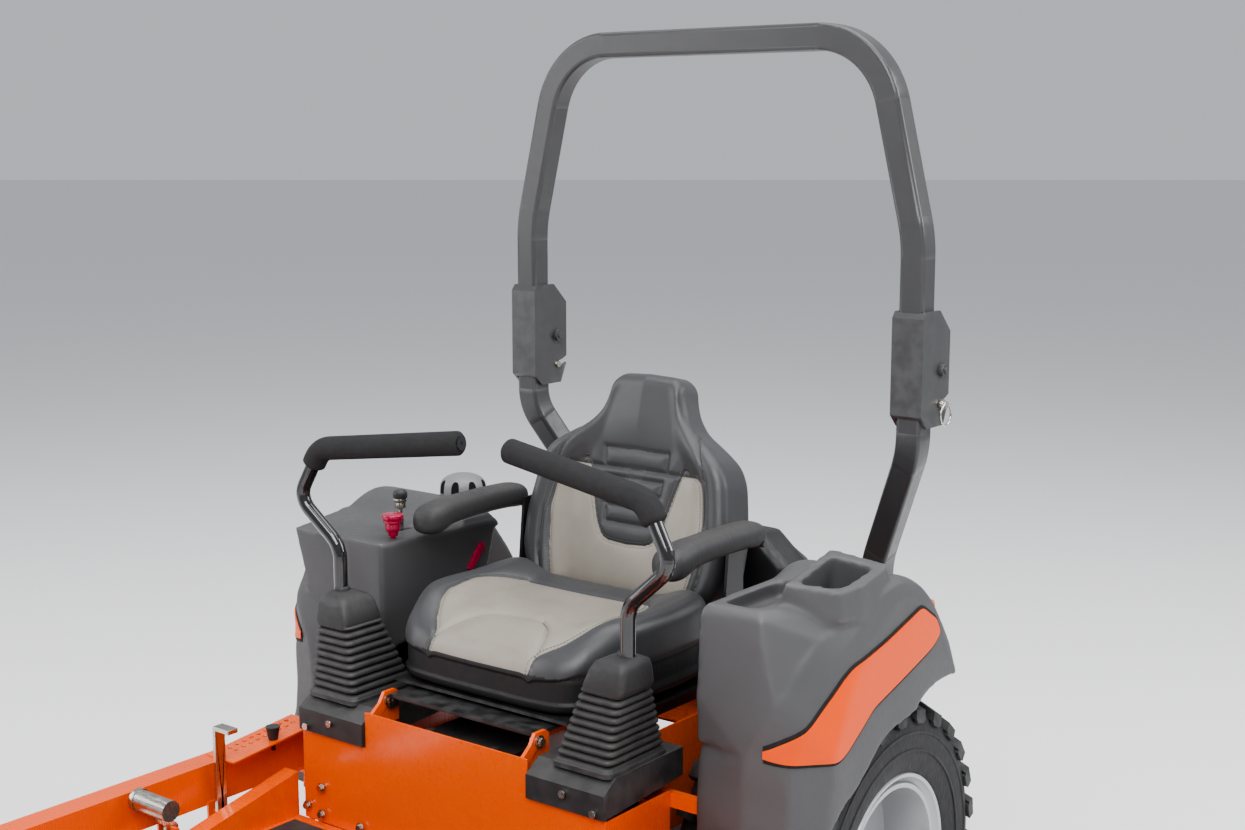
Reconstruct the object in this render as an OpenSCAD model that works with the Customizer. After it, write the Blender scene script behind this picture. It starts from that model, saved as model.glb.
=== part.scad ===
// Zero turn mower. Millimetres, +Z up, front towards -Y, operator's left towards +X, ground at z = 0.

/* [Overall] */
// Length from the caster tyres to the engine guard
machine_length = 2080; // [2000:1:2400]
// Height of the top of the roll bar
rops_height = 1767; // [1650:1:2000]
// From the rear axle back to the end of the engine guard
rear_overhang = 625; // [610:1:760]

/* [Wheels] */
// Rear tyre diameter
rear_tire_d = 610; // [500:1:620]
// Rear tyre width
rear_tire_w = 295; // [240:1:297]
// Inner side of the rear tyre, from the middle of the machine
rear_tire_in = 305; // [303:1:330]
// Rear rim lip diameter
rear_rim_d = 332; // [270:1:380]
// Caster tyre diameter
caster_d = 330; // [270:1:336]
// Caster tyre width
caster_w = 165; // [120:1:172]
// Caster pivot from the middle of the machine
caster_x = 465; // [460:1:480]
// Trail of the caster axle behind its pivot
caster_trail = 90; // [70:1:110]
// Drive axle diameter
axle_d = 30; // [25:1:36]

/* [Roll bar] */
// Square tube of the roll bar
rops_tube = 50; // [40:1:54]
// Wall of the roll bar tube
rops_wall = 4; // [3:0.5:6]
// Roll bar leg from the middle of the machine, at the hinge
rops_leg_x = 458; // [448:1:480]
// Half of the roll bar's top width, to the centre of the tube
rops_top_x = 370; // [330:1:400]
// Height of the roll bar hinge
rops_pivot_z = 1140; // [1100:1:1180]
// Bend radius at the top corners
rops_bend = 155; // [120:1:180]
// Diameter of hinge bolts and lock pins
rops_pin_d = 12.7; // [10:0.1:16]

/* [Lap bars] */
// Lap bar tube diameter
lever_d = 25.4; // [19:0.1:28]
// Foam grip diameter
grip_d = 43; // [34:1:48]
// Lap bar from the middle of the machine, at its pivot
lever_x = 327; // [322:1:330]
// Height of the lap bar's top end
lever_top_z = 1044; // [1030:1:1100]

/* [Seat] */
// Cushion width
cushion_w = 500; // [430:1:504]
// Cushion width between the lever boots
cushion_front_w = 408; // [360:1:430]
// Cushion thickness
cushion_h = 128; // [100:1:140]
// Backrest width
back_w = 474; // [420:1:478]
// Backrest thickness
back_t = 76; // [60:1:84]
// Backrest recline in degrees
back_tilt = 13; // [8:1:15]
// Armrest width
armrest_w = 65; // [50:1:70]

/* [Cutting deck] */
// Distance of the outer spindles from the middle one, across
spindle_x = 505; // [500:1:510]
// Distance of the outer spindles behind the middle one
spindle_stagger = 180; // [170:1:200]
// Blade length
blade_len = 520; // [460:1:524]
// Height of the deck skirt above ground at the lowest cut
deck_low = 45; // [38:1:52]
// Depth of the deck
deck_h = 115; // [105:1:120]
// Travel of the discharge chute beyond the deck
chute_out = 270; // [200:1:300]

/* [Sheet and clearances] */
// Sheet metal thickness
sheet = 4; // [3:0.5:5]
// Wall of the moulded fenders
fender_wall = 5; // [4:0.5:7]
// Running clearance on radius
run = 0.05; // [0.02:0.01:0.1]
// Gap between pieces that seat on each other without touching
seat_gap = 0.3; // [0.2:0.1:0.6]

/* [Hidden] */
$fn = 48;
orange = [0.95, 0.33, 0.02];
grey = [0.33, 0.33, 0.34];
black = [0.07, 0.07, 0.07];
steel = [0.72, 0.72, 0.70];
red = [0.75, 0.05, 0.1];
seat_grey = [0.3, 0.3, 0.31];

front_y = -machine_length / 2;
axle_y = machine_length / 2 - rear_overhang;
cab_y = axle_y - 415;
caster_axle_y = front_y + caster_d / 2;
caster_pivot_y = caster_axle_y - caster_trail;
hub_low = caster_d + 35;
hub_top = hub_low + 110;

// Frame rails
rail_w = 50;
outer_top = 455;
outer_h = 75;
low_rail_x = 235;
low_rail_top = 330;
low_rail_h = 55;
high_rail_x = 230;
high_rail_z = 372;
high_rail_top = 432;
tower_x = 262;
slot_x = 420;

// Front panel and lever boxes, in the cab's own y
panel_y = -88;
panel_x = 350;
panel_top = 566;
box_low = 503;
box_in = 190;
box_out = 352;
lever_y = -4;
drive_z = 470;
swing_z = 610;

// Seat
plate_top = 593;
pan_top = 606;
hinge_y = -40;
hinge_z = 580;
back_foot = [392, 738];
arm_pivot = [420, 845];
bracket_x = back_w / 2 + 4;
arm_x = bracket_x + 6 + 1 + armrest_w / 2;

// Deck, in the machine's y
mid_spindle_y = front_y + 640;
outer_spindle_y = mid_spindle_y + spindle_stagger;
deck_top = deck_low + deck_h;
deck_half = spindle_x + 285;
spindle_d = 25;
belt_z = deck_top + 30;
belt_h = 13;
belt_r = 60;
engine_y = axle_y + 355;
hanger_y = [outer_spindle_y - 340, outer_spindle_y + 210];
mid_x = chute_out / 2;

// ---- Places and helpers ----

// The machine's middle, in a frame whose origin is under the middle of the whole outline
module machine() translate([mid_x, 0, 0]) children();

// The cab's own place, tied to the rear axle
module cab() translate([mid_x, cab_y, 0]) children();

module left_right() {
    children();
    mirror([1, 0, 0]) children();
}

// A copy on the right of what is modelled on the left
module on_side(left) {
    if (left) children();
    else mirror([1, 0, 0]) children();
}

// A block given by its lowest and highest corners
module block(low, high) translate(low) cube(high - low);

// A rod along X from x0 to x1 at (y, z)
module rod_x(x0, x1, y, z, d) translate([x0, y, z]) rotate([0, 90, 0]) cylinder(h = x1 - x0, d = d);

// A rod along Y from y0 to y1 at (x, z)
module rod_y(y0, y1, x, z, d) translate([x, y0, z]) rotate([-90, 0, 0]) cylinder(h = y1 - y0, d = d);

module rod_z(z0, z1, x, y, d) translate([x, y, z0]) cylinder(h = z1 - z0, d = d);

// A profile drawn as (y, z), extruded from x0 to x1
module slab_x(x0, x1) translate([x0, 0, 0]) rotate([90, 0, 90]) linear_extrude(x1 - x0) children();

// A profile drawn as (x, z), extruded from y0 to y1
module slab_y(y0, y1) translate([0, y1, 0]) rotate([90, 0, 0]) linear_extrude(y1 - y0) children();

// Square tube section with round corners, turned about its middle
module square_section(size, wall, turn = 0) rotate(turn) difference() {
    rounded(size + $grow, size + $grow, 8);
    if (wall > 0) rounded(size - 2 * wall - $grow, size - 2 * wall - $grow, 4);
}

module rounded(w, h, r) {
    square([w - 2 * r, h], center = true);
    square([w, h - 2 * r], center = true);
    for (x = [-1, 1], y = [-1, 1]) translate([x * (w / 2 - r), y * (h / 2 - r)]) circle(r);
}

module round_section(d_out, d_in = 0) difference() {
    circle(d = d_out + $grow);
    if (d_in > 0) circle(d = d_in - $grow);
}

// ---- Bent tubes: a path of points in a plane, with a bend radius at each inner point ----

bend_grow = 0.1;
bend_lap = 0.8;
$grow = 0;

function heading(a, b) = atan2(b[1] - a[1], b[0] - a[0]);
function wrap(a) = a > 180 ? a - 360 : a < -180 ? a + 360 : a;
function turn_at(p, i) = wrap(heading(p[i], p[i + 1]) - heading(p[i - 1], p[i]));
function trim(p, r, i) = i == 0 || i == len(p) - 1 ? 0 : r[i] * tan(abs(turn_at(p, i)) / 2);

// The section child is drawn with its x in the plane and its y along the plane's normal. The
// straights run a little way into the bends, whose section is thicker by $grow.
module bent(p, r) {
    for (i = [0 : len(p) - 2]) {
        $grow = 0;
        a = p[i];
        b = p[i + 1];
        start = trim(p, r, i) - (i > 0 ? bend_lap : 0);
        long = norm(b - a) - start - trim(p, r, i + 1) + (i < len(p) - 2 ? bend_lap : 0);
        translate([a[0], a[1], 0]) rotate(heading(a, b)) translate([start, 0, 0])
            rotate([90, 0, 90]) linear_extrude(long) children();
    }
    for (i = [1 : len(p) - 2]) {
        $grow = bend_grow;
        turn = turn_at(p, i);
        side = sign(turn);
        translate([p[i][0], p[i][1], 0]) rotate(heading(p[i - 1], p[i]))
            translate([-trim(p, r, i), side * r[i], 0]) rotate(side > 0 ? -90 : 90 + turn)
            rotate_extrude(angle = abs(turn)) translate([r[i], 0]) mirror([side > 0 ? 1 : 0, 0]) children();
    }
}

// Stands a drawing's plane upright: x stays, y becomes z
module upright(turn = 0) rotate([90, 0, turn]) children();

// ---- Frame ----

module tube_block(low, high, wall = 4) difference() {
    block(low, high);
    block(low + [wall, wall, wall], high - [wall, wall, wall]);
}

module caster_hub() difference() {
    union() {
        rod_z(hub_low, hub_top, caster_x, caster_pivot_y, 66);
        block([caster_x - rail_w / 2, caster_pivot_y + 8, outer_top - outer_h],
              [caster_x + rail_w / 2, caster_pivot_y + 60, outer_top]);
    }
    rod_z(hub_low - 1, hub_top + 1, caster_x, caster_pivot_y, 28 + 2 * run);
}

module outer_rail() {
    caster_hub();
    tube_block([caster_x - rail_w / 2, caster_pivot_y + 60, outer_top - outer_h],
               [caster_x + rail_w / 2, cab_y + 60, outer_top]);
    for (y = hanger_y) difference() {
        block([slot_x - 12, y - 14, outer_top - outer_h], [caster_x - rail_w / 2, y + 14,
            outer_top - outer_h + 8]);
        rod_z(outer_top - outer_h - 1, outer_top, slot_x, y, 10 + 4 * run);
    }
}

module low_rail() tube_block(
    [low_rail_x - rail_w / 2, caster_pivot_y + 190, low_rail_top - low_rail_h],
    [low_rail_x + rail_w / 2, cab_y + 60, low_rail_top]);

module high_rail() tube_block(
    [high_rail_x - rail_w / 2, cab_y - 80, high_rail_z],
    [high_rail_x + rail_w / 2, front_y + machine_length - 110, high_rail_top]);

module tower_plate() translate([0, cab_y, 0]) slab_x(tower_x, tower_x + sheet) polygon([
    [panel_y + sheet, low_rail_top - low_rail_h], [60, low_rail_top - low_rail_h], [60, high_rail_z],
    [420, high_rail_z], [420, 560], [125, 560], [125, box_low - 3], [panel_y + sheet, box_low - 3]]);

module frame_side() {
    outer_rail();
    low_rail();
    high_rail();
    tower_plate();
    // Web between the low and the high rail, and ties out to the tower plate
    block([low_rail_x - 20, cab_y - 80, low_rail_top], [low_rail_x + 15, cab_y + 60, high_rail_z]);
    block([low_rail_x, cab_y, low_rail_top - 40], [tower_x, cab_y + 50, low_rail_top]);
    block([high_rail_x, cab_y + 130, high_rail_z + 5], [tower_x, cab_y + 400, high_rail_z + 25]);
    // Lap bar pivot shaft, from the tower plate to the panel's side wall
    translate([0, cab_y, 0]) rod_x(tower_x + 1, panel_x - sheet, lever_y, drive_z, 16);
    // Bracket that carries the fender, and the foot of the roll bar upright
    block([tower_x + 1, cab_y + 86, 470], [fender_in - seat_gap, cab_y + 100, 495]);
    block([high_rail_x, cab_y + 735, high_rail_z], [370, cab_y + 830, high_rail_top]);
    // Engine feet
    for (y = [500, 850]) block([high_rail_x - 15, cab_y + y, high_rail_top],
        [high_rail_x + 5, cab_y + y + 30, 440]);
}

module main_frame() color(orange) machine() {
    left_right() frame_side();
    // Cross members
    tube_block([-caster_x + 10, caster_pivot_y + 190, low_rail_top + 1],
               [caster_x - 10, caster_pivot_y + 238, outer_top - outer_h + 6]);
    for (x = [-1, 1]) scale([x, 1, 1]) block([low_rail_x - 20, caster_pivot_y + 190, low_rail_top - 5],
        [low_rail_x + 20, caster_pivot_y + 236, low_rail_top + 5]);
    tube_block([-caster_x, cab_y + 10, low_rail_top + 3], [caster_x, cab_y + 58, outer_top - outer_h + 6]);
    block([-high_rail_x, front_y + machine_length - 150, high_rail_z],
          [high_rail_x, front_y + machine_length - 112, high_rail_top]);
    // Engine plate with the crank hole
    difference() {
        block([-high_rail_x - 5, cab_y + 500, 436], [high_rail_x + 5, cab_y + 880, 441]);
        rod_z(430, 450, 0, engine_y, 90);
    }
    // Battery shelf and seat support bar
    block([-high_rail_x, cab_y - 78, high_rail_top - 3], [high_rail_x, cab_y + 110, high_rail_top + 3]);
    block([-tower_x, cab_y + 380, 545], [tower_x, cab_y + 420, 560]);
    pedal_pins();
}

// Pins that the two foot levers turn on, out of the right outer rail, and their ears
module pedal_pins() {
    for (p = [pedal_pivot, foot_pivot])
        rod_x(-caster_x + rail_w / 2 - 1, -slot_x + 14, cab_y + p[0], p[1], 10);
    block([-caster_x + rail_w / 2 - 1, cab_y + pedal_pivot[0] - 16, pedal_pivot[1] - 14],
          [-caster_x + rail_w / 2 + 4, cab_y + pedal_pivot[0] + 16, outer_top - outer_h + 6]);
    block([-caster_x + rail_w / 2 - 1, cab_y + foot_pivot[0] - 16, foot_pivot[1] - 14],
          [-caster_x + rail_w / 2 + 4, cab_y + foot_pivot[0] + 16, outer_top - outer_h + 6]);
}
pedal_pivot = [-330, 372];
foot_pivot = [-222, 366];

module front_panel() color(orange) cab() {
    low = low_rail_top + sheet;
    slab_y(panel_y, panel_y + sheet) polygon([
        [-panel_x, low], [panel_x, low], [panel_x, box_low - 2], [box_in - 2, box_low - 2],
            [box_in - 2, panel_top],
        [2 - box_in, panel_top], [2 - box_in, box_low - 2], [-panel_x, box_low - 2]]);
    left_right() {
        // Side wall, notched over the cross member
        slab_x(panel_x - sheet, panel_x) polygon([[panel_y + sheet, low], [8, low], [8, 388],
            [62, 388], [62, low],
            [85, low], [85, box_low - 4], [panel_y + sheet, box_low - 4]]);
        // Ears for the seat plate's hinge
        difference() {
            slab_x(171, 178) polygon([[panel_y + sheet, 540], [-20, 540], [-20, 592], [-28, 598], [-54, 598],
                [-66, 580], [panel_y + sheet, panel_top]]);
            rod_x(170, 180, hinge_y, hinge_z, 10 + 2 * run);
        }
    }
}

module floor_pan() color(orange) machine() {
    front = caster_pivot_y + 245;
    back = cab_y + panel_y - 1;
    edge = 365;
    block([-edge - 1, front, low_rail_top], [edge + 1, back, low_rail_top + sheet]);
    // Side channels rise towards the panel and carry a flange that closes onto the outer rails
    left_right() slab_x(edge, edge + sheet) polygon([[front, low_rail_top], [back, low_rail_top],
        [back, channel_z(-88)], [cab_y - 420, channel_z(-420)], [front, channel_z(-420)]]);
    left_right() slab_x(edge, edge + 35) polygon([[front, channel_z(-420) - 3],
        [cab_y - 420, channel_z(-420) - 3],
        [back, channel_z(-88) - 3], [back, channel_z(-88)], [cab_y - 420, channel_z(-420)],
        [front, channel_z(-420)]]);
    height_plate();
}
function channel_z(y) = 345 + (y + 420) * 0.215;

// Perforated plate over the right outer rail: two rows of holes and the pin's slot between them
module height_plate() {
    low = [-205, 455];
    high = [-2, 475];
    slope = atan2(high[1] - low[1], high[0] - low[0]);
    long = norm(high - low);
    translate([0, cab_y + low[0], low[1]]) rotate([slope, 0, 0]) difference() {
        block([-caster_x - 14, 0, 0], [-slot_x + 16, long, 3]);
        for (i = [0 : 8], row = [0, 1])
            rod_z(-1, 5, -caster_x + 2 + row * 18, 42 + i * 17, 10);
        rod_z(-1, 5, -slot_x, 107.2, 9.6);
        block([-caster_x - 4, 14, -1], [-caster_x + 14, 20, 5]);
    }
    translate([0, cab_y, 0]) slab_x(-caster_x - 14, -caster_x - 11)
        polygon([low + [4, 0], low + [4, 1.2], high + [-2, 1], [high[0] - 2, 455]]);
}

module floor_mat() color(black) machine() {
    low = low_rail_top + sheet;
    block([-345, caster_pivot_y + 265, low], [345, cab_y + panel_y - 30, low + 6]);
}

// ---- Fenders: a plan outline cut to a side profile, hollow below ----

fender_in = 412;
fender_out = 618;
console_in = 316;

function fender_plan(inner, wall) = [
    [inner + wall, 80 + wall], [530, 80 + wall], [fender_out - 8 - wall, 165 + wall * 0.5],
    [fender_out - wall, 200], [fender_out - wall, 600], [inner + wall, 600]];

// Side profile, from the low front corner over the top to the rear lip and back under
function fender_top(wall) = [
    [70 + wall, 300], [78 + wall, 822 - wall], [150, 826 - wall], [160, 838 - wall], [300, 872 - wall],
    [344, 870 - wall], [434 - wall * 0.4, 825 - wall * 0.8], [485 - wall * 0.7, 787 - wall * 0.7],
    [524 - wall * 0.8, 742 - wall * 0.6], [565 - wall, 683 - wall * 0.4], [584 - wall, 625]];
fender_under = [[584, 625], [545, 629], [433, 599], [332, 580], [294, 563], [232, 510], [172, 479],
    [130, 420],
    [112, 360], [70, 300]];

module fender_body(inner) intersection() {
    translate([0, 0, 290]) linear_extrude(600) polygon(fender_plan(inner, 0));
    slab_x(inner, fender_out) polygon(concat(fender_top(0), fender_under));
}

module fender_hollow(inner) intersection() {
    translate([0, 0, 280]) linear_extrude(620) polygon(fender_plan(inner, fender_wall));
    slab_x(inner + fender_wall, fender_out - fender_wall) polygon(concat(
        fender_top(fender_wall), [[700, 620], [700, 100], [60, 100]]));
}

module fender(inner) difference() {
    fender_body(inner);
    fender_hollow(inner);
    // Wheel arch in the inner wall
    rod_x(inner - 1, inner + fender_wall + 1, 415, rear_tire_d / 2, rear_tire_d + 50);
}

// Storage block on top of the left fender, with an open mouth
module storage_block() difference() {
    translate([0, 0, 815]) linear_extrude(70) polygon([[505, 152], [590, 190], [612, 250], [612, 345],
        [500, 330]]);
    storage_mouth(0);
}

module storage_mouth(grow) translate([0, 0, 775 - grow]) linear_extrude(140)
    polygon([[520 - grow, 178 - grow], [592 + grow, 205 - grow], [596 + grow, 322 + grow],
        [520 - grow, 312 + grow]]);

module fender_left() color(grey) cab() {
    difference() {
        union() {
            fender(fender_in);
            intersection() {
                storage_mouth(4);
                translate([0, 0, 771]) cube([700, 400, 60]);
            }
            storage_block();
            block([fender_in + 2, 82, 798], [508, 306, 812]);
        }
        storage_mouth(0);
        // Tray in front of the block
        block([fender_in + 12, 100, 806], [500, 300, 900]);
        trim_pocket(0.3);
    }
}

module fender_right() color(grey) cab() mirror([1, 0, 0]) difference() {
    union() {
        fender(fender_in);
        // Console, reaching in to the seat
        difference() {
            block([console_in, 85, panel_top + seat_gap], [fender_in, 420, 815]);
            block([console_in + fender_wall, 90, 550], [fender_in + 1, 415, 810]);
        }
        // Flat seat for the fuel cap, and the shaft of the throttle lever
        rod_z(816, 832, filler[0], filler[1], 108);
        rod_x(console_in + 2, throttle_at[0] + 12, throttle_at[1], 775, 8);
    }
    block([fender_in - 1, 96, 600], [fender_in + fender_wall + 1, 400, 806]);
    // Room for the tyre under the console, and above the fuel cap's seat
    rod_x(console_in - 1, fender_in + fender_wall + 1, 415, rear_tire_d / 2, rear_tire_d + 50);
    rod_z(832, 900, filler[0], filler[1], 106);
    trim_pocket(0.3);
    rod_z(790, 900, filler[0], filler[1], 44);
    rod_z(790, 900, pto_at[0], pto_at[1], 10 + 4 * run);
    rod_z(790, 900, choke_at[0], choke_at[1], 8 + 4 * run);
    rod_z(790, 900, key_at[0], key_at[1], 12 + 4 * run);
    block([throttle_at[0] - 5, throttle_at[1] - 34, 800], [throttle_at[0] + 5, throttle_at[1] + 34, 830]);
    rod_x(console_in - 1, console_in + 8, latch_at[0], latch_at[1], 10 + 2 * run);
}
filler = [440, 440];
pto_at = [338, 138];
choke_at = [342, 235];
key_at = [345, 285];
throttle_at = [385, 205];
latch_at = [352, 762];

trim_outline = [[433, 780], [488, 747], [504, 719], [476, 701], [414, 684], [277, 645], [198, 590],
    [174, 582],
    [85, 591], [68, 603], [193, 713], [217, 727], [311, 747]];

module trim_pocket(grow) translate([fender_out - 3, 0, 0]) rotate([90, 0, 90]) linear_extrude(10)
    offset(delta = grow) side_trim();

// The part of the trim that lies on the flat side of the fender
module side_trim() intersection() {
    polygon(trim_outline);
    translate([206, 0]) square([400, 900]);
}

module fender_trims() color(orange) cab() left_right()
    translate([fender_out - 3, 0, 0]) rotate([90, 0, 90]) linear_extrude(5)
        side_trim();

// ---- Services ----

module fuel_tank() color(black) cab() mirror([1, 0, 0]) {
    difference() {
        union() {
            block([422, 330, 640], [600, 490, 745]);
            rod_z(740, 832, filler[0], filler[1], 42);
        }
        rod_z(650, 840, filler[0], filler[1], 34);
        block([428, 336, 646], [594, 484, 739]);
    }
}

module fuel_cap() color(grey) cab() mirror([1, 0, 0]) {
    difference() {
        union() {
            rod_z(832 + seat_gap, 862, filler[0], filler[1], 100);
            translate([filler[0], filler[1], 862]) cylinder(h = 18, d1 = 100, d2 = 62);
        }
        for (a = [0 : 60 : 300]) translate([filler[0], filler[1], 0]) rotate(a)
            block([40, -8, 846], [60, 8, 870]);
    }
    rod_z(812, 832 + 1, filler[0], filler[1], 33.5);
}

module battery() color(black) cab() {
    low = high_rail_top + 3;
    block([-100, -62, low], [100, 68, low + 100]);
    for (x = [-75, 75]) rod_z(low + 100, low + 112, x, -40, 16);
}

module engine_block() color([0.45, 0.45, 0.46]) machine() difference() {
    union() {
        translate([0, engine_y - cab_y - 770, 0]) translate([0, cab_y, 0]) {
            block([-120, 630, 441], [120, 880, 600]);
            for (a = [-45, 45]) translate([0, 770, 520]) rotate(a) {
                block([-48, 90, -40], [48, 165, 50]);
                for (i = [0 : 4]) block([-58, 104 + i * 12, -48], [58, 108 + i * 12, 58]);
            }
        }
        rod_z(600, 618, 0, engine_y, 120);
        rod_z(deck_top + 68, 445, 0, engine_y, 28);
    }
}

module blower_housing() color(black) machine() translate([0, engine_y, 0]) difference() {
    union() {
        rod_z(618, 700, 0, 0, 320);
        translate([0, 0, 700]) cylinder(h = 40, d1 = 320, d2 = 230);
    }
    translate([0, 0, 722]) cylinder(h = 30, d = 190);
    rod_z(624, 716, 0, 0, 190);
    for (a = [0 : 15 : 345]) rotate(a) block([40, -3, 700], [88, 3, 730]);
}

module air_cleaner_cover() color(grey) machine() translate([0, engine_y - 770, 0]) {
    slab_y(556, 604) polygon([[30, 700], [262, 700], [284, 735], [284, 768], [246, 790], [218, 826],
        [60, 830],
        [30, 800]]);
    block([215, 540, 781], [252, 556, 789]);
    rod_z(585, 700, 100, 582, 40);
    block([88, 582, 585], [112, 630, 597]);
}

module muffler() color(steel) machine() {
    y = front_y + machine_length - 62;
    rod_x(-160, 160, y, 522, 96);
    for (x = [-90, 90]) block([x - 8, y - 54, high_rail_top], [x + 8, y + 10, 485]);
}

module transaxles() color([0.5, 0.5, 0.5]) machine() left_right() translate([0, axle_y, 0]) {
    z = rear_tire_d / 2;
    block([85, -85, z - 70], [250, 105, high_rail_z]);
    rod_x(250, 292, 0, z, 84);
    rod_x(291, 452, 0, z, axle_d);
    rod_z(z + 60, z + 66, 160, 60, 40);
}

// ---- Roll bar ----

pivot = [725, rops_pivot_z];
tube_y = 685;
pin_z = rops_pivot_z - 63;
plate_t = 6.5;
grip_in = rops_tube / 2 + 0.5;
upright_foot = [335, 783];
upright_dir = upright_foot - [rops_leg_x, tube_y];
upright_reach = norm(upright_dir);
upright_turn = atan2(upright_dir[1], upright_dir[0]);

module hoop_half() translate([0, tube_y, 0]) upright() bent(
    [[rops_leg_x, rops_pivot_z + 12], [rops_leg_x, rops_pivot_z + 240],
     [rops_top_x, rops_height - rops_tube / 2], [0, rops_height - rops_tube / 2]],
    [0, 300, rops_bend, 0]) square_section(rops_tube, rops_wall);

clevis_outline = [[653, 12], [653, 98], [662, 110], [716, 110], [757, 70], [757, -62], [738, -103],
    [676, -103],
    [653, -80]];

module clevis() translate([rops_leg_x, 0, rops_pivot_z]) {
    difference() {
        slab_x(-grip_in - plate_t, grip_in + plate_t) polygon(clevis_outline);
        // Room for the upright below the hinge, and the open back above it
        block([-grip_in, 659.5, -120], [grip_in, 800, 12]);
        block([-grip_in, 710.5, -120], [grip_in, 800, 120]);
        block([-rops_tube / 2 + 1, 661, 0], [rops_tube / 2 - 1, 709, 120]);
        rod_x(-50, 50, pivot[0], 0, rops_pin_d + 2 * run);
        // Slot that lets the plates swing clear of the lock pin
        slab_x(-50, 50) translate([pivot[0], 0]) pin_track();
    }
}

// Arc of the lock pin in the clevis plate as the hoop folds, out to the plate's rear edge
module pin_track() {
    r = rops_pivot_z - pin_z;
    half = rops_pin_d / 2 + 0.4;
    translate([0, -r]) circle(half);
    intersection() {
        difference() {
            circle(r + half);
            circle(r - half);
        }
        polygon([[0, 0], [0, -2 * r], [r, -2 * r], [2 * r, -r]]);
    }
}

module rops_hoop() color([0.2, 0.2, 0.21]) cab() left_right() {
    hoop_half();
    clevis();
}

module upright_side() {
    translate([rops_leg_x, tube_y, 0]) rotate(upright_turn) upright() bent(
        [[0, rops_pivot_z - 2], [0, rops_pivot_z - 148], [upright_reach, rops_pivot_z - 393],
         [upright_reach, high_rail_top + 9]],
        [0, 120, 120, 0]) square_section(rops_tube, 0, upright_turn);
    block([upright_foot[0] - 38, upright_foot[1] - 42, high_rail_top],
          [upright_foot[0] + 38, upright_foot[1] + 42, high_rail_top + 10]);
    // Lug behind the tube: barrel round the hinge bolt, and a boss for the lock pin
    difference() {
        slab_x(rops_leg_x - 24.5, rops_leg_x + 24.5) {
            translate(pivot) circle(16.5);
            translate([pivot[0], pin_z]) circle(15);
            translate([700, pin_z - 15]) square([25, 63]);
            translate([700, pin_z]) square([40, 50]);
        }
        rod_x(rops_leg_x - 40, rops_leg_x + 40, pivot[0], pin_z, rops_pin_d + 2 * run);
    }
    rod_x(rops_leg_x - 44, rops_leg_x + 44, pivot[0], pivot[1], rops_pin_d);
    for (side = [-1, 1]) {
        x = rops_leg_x + side * (grip_in + plate_t + seat_gap + 4.5);
        rod_x(x - 4.5, x + 4.5, pivot[0], pivot[1], 24);
    }
}

module rops_uprights() color([0.2, 0.2, 0.21]) cab() left_right() upright_side();

// Quick-release pin with a ring through its head
module lock_pin(left) color(steel) cab() on_side(left) {
    out = rops_leg_x + grip_in + plate_t;
    rod_x(rops_leg_x - grip_in - plate_t - 6, out + 14, pivot[0], pin_z, rops_pin_d);
    rod_x(out + seat_gap, out + 7, pivot[0], pin_z, 20);
    translate([out + 12, pivot[0], pin_z - 18]) rotate([0, 90, 0]) rotate_extrude() translate([20,
        0]) circle(d = 4);
}
module lock_pin_left() lock_pin(true);
module lock_pin_right() lock_pin(false);

// ---- Wheels ----

module tire_profile(x0, x1, r_in, r_out) polygon([
    [r_in, x0 + (x1 - x0) * 0.08], [r_in + 14, x0 + (x1 - x0) * 0.07], [(r_in + r_out) / 2, x0],
    [r_out - 32, x0 + 4], [r_out - 8, x0 + 22], [r_out, x0 + 50], [r_out, x1 - 50], [r_out - 8, x1 - 22],
    [r_out - 32, x1 - 4], [(r_in + r_out) / 2, x1], [r_in + 14, x1 - (x1 - x0) * 0.07],
    [r_in, x1 - (x1 - x0) * 0.08]]);

// Turns a drawing whose x is a radius and whose y lies along the machine's X
module about_x() rotate([0, 90, 0]) rotate_extrude() children();

module rear_tire(left) color(black) machine() on_side(left) translate([0, axle_y, rear_tire_d / 2])
    about_x() tire_profile(rear_tire_in, rear_tire_in + rear_tire_w, rear_rim_d / 2 - 12, rear_tire_d / 2);
module rear_tire_left() rear_tire(true);
module rear_tire_right() rear_tire(false);

module rear_rim(left) color(steel) machine() on_side(left) translate([0, axle_y, rear_tire_d / 2]) {
    barrel = rear_rim_d / 2 - 12 - seat_gap;
    low = rear_tire_in + rear_tire_w * 0.08;
    high = rear_tire_in + rear_tire_w * 0.92;
    difference() {
        union() {
            about_x() polygon([
                [axle_d / 2 + run, rear_tire_in - 5], [48, rear_tire_in - 5], [48, low + 110],
                    [barrel - 8, low + 150],
                [barrel - 8, low - 5], [barrel, low - 5], [barrel, high + 5], [barrel - 8, high + 5],
                [barrel - 8, low + 158], [60, low + 138], [axle_d / 2 + run, low + 138]]);
            for (a = [0 : 72 : 288]) rotate([a, 0, 0]) rod_x(low + 125, low + 154, 52, 0, 22);
        }
        for (a = [36 : 72 : 324]) rotate([a, 0, 0]) rod_x(low, high, 95, 0, 34);
    }
}
module rear_rim_left() rear_rim(true);
module rear_rim_right() rear_rim(false);

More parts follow.
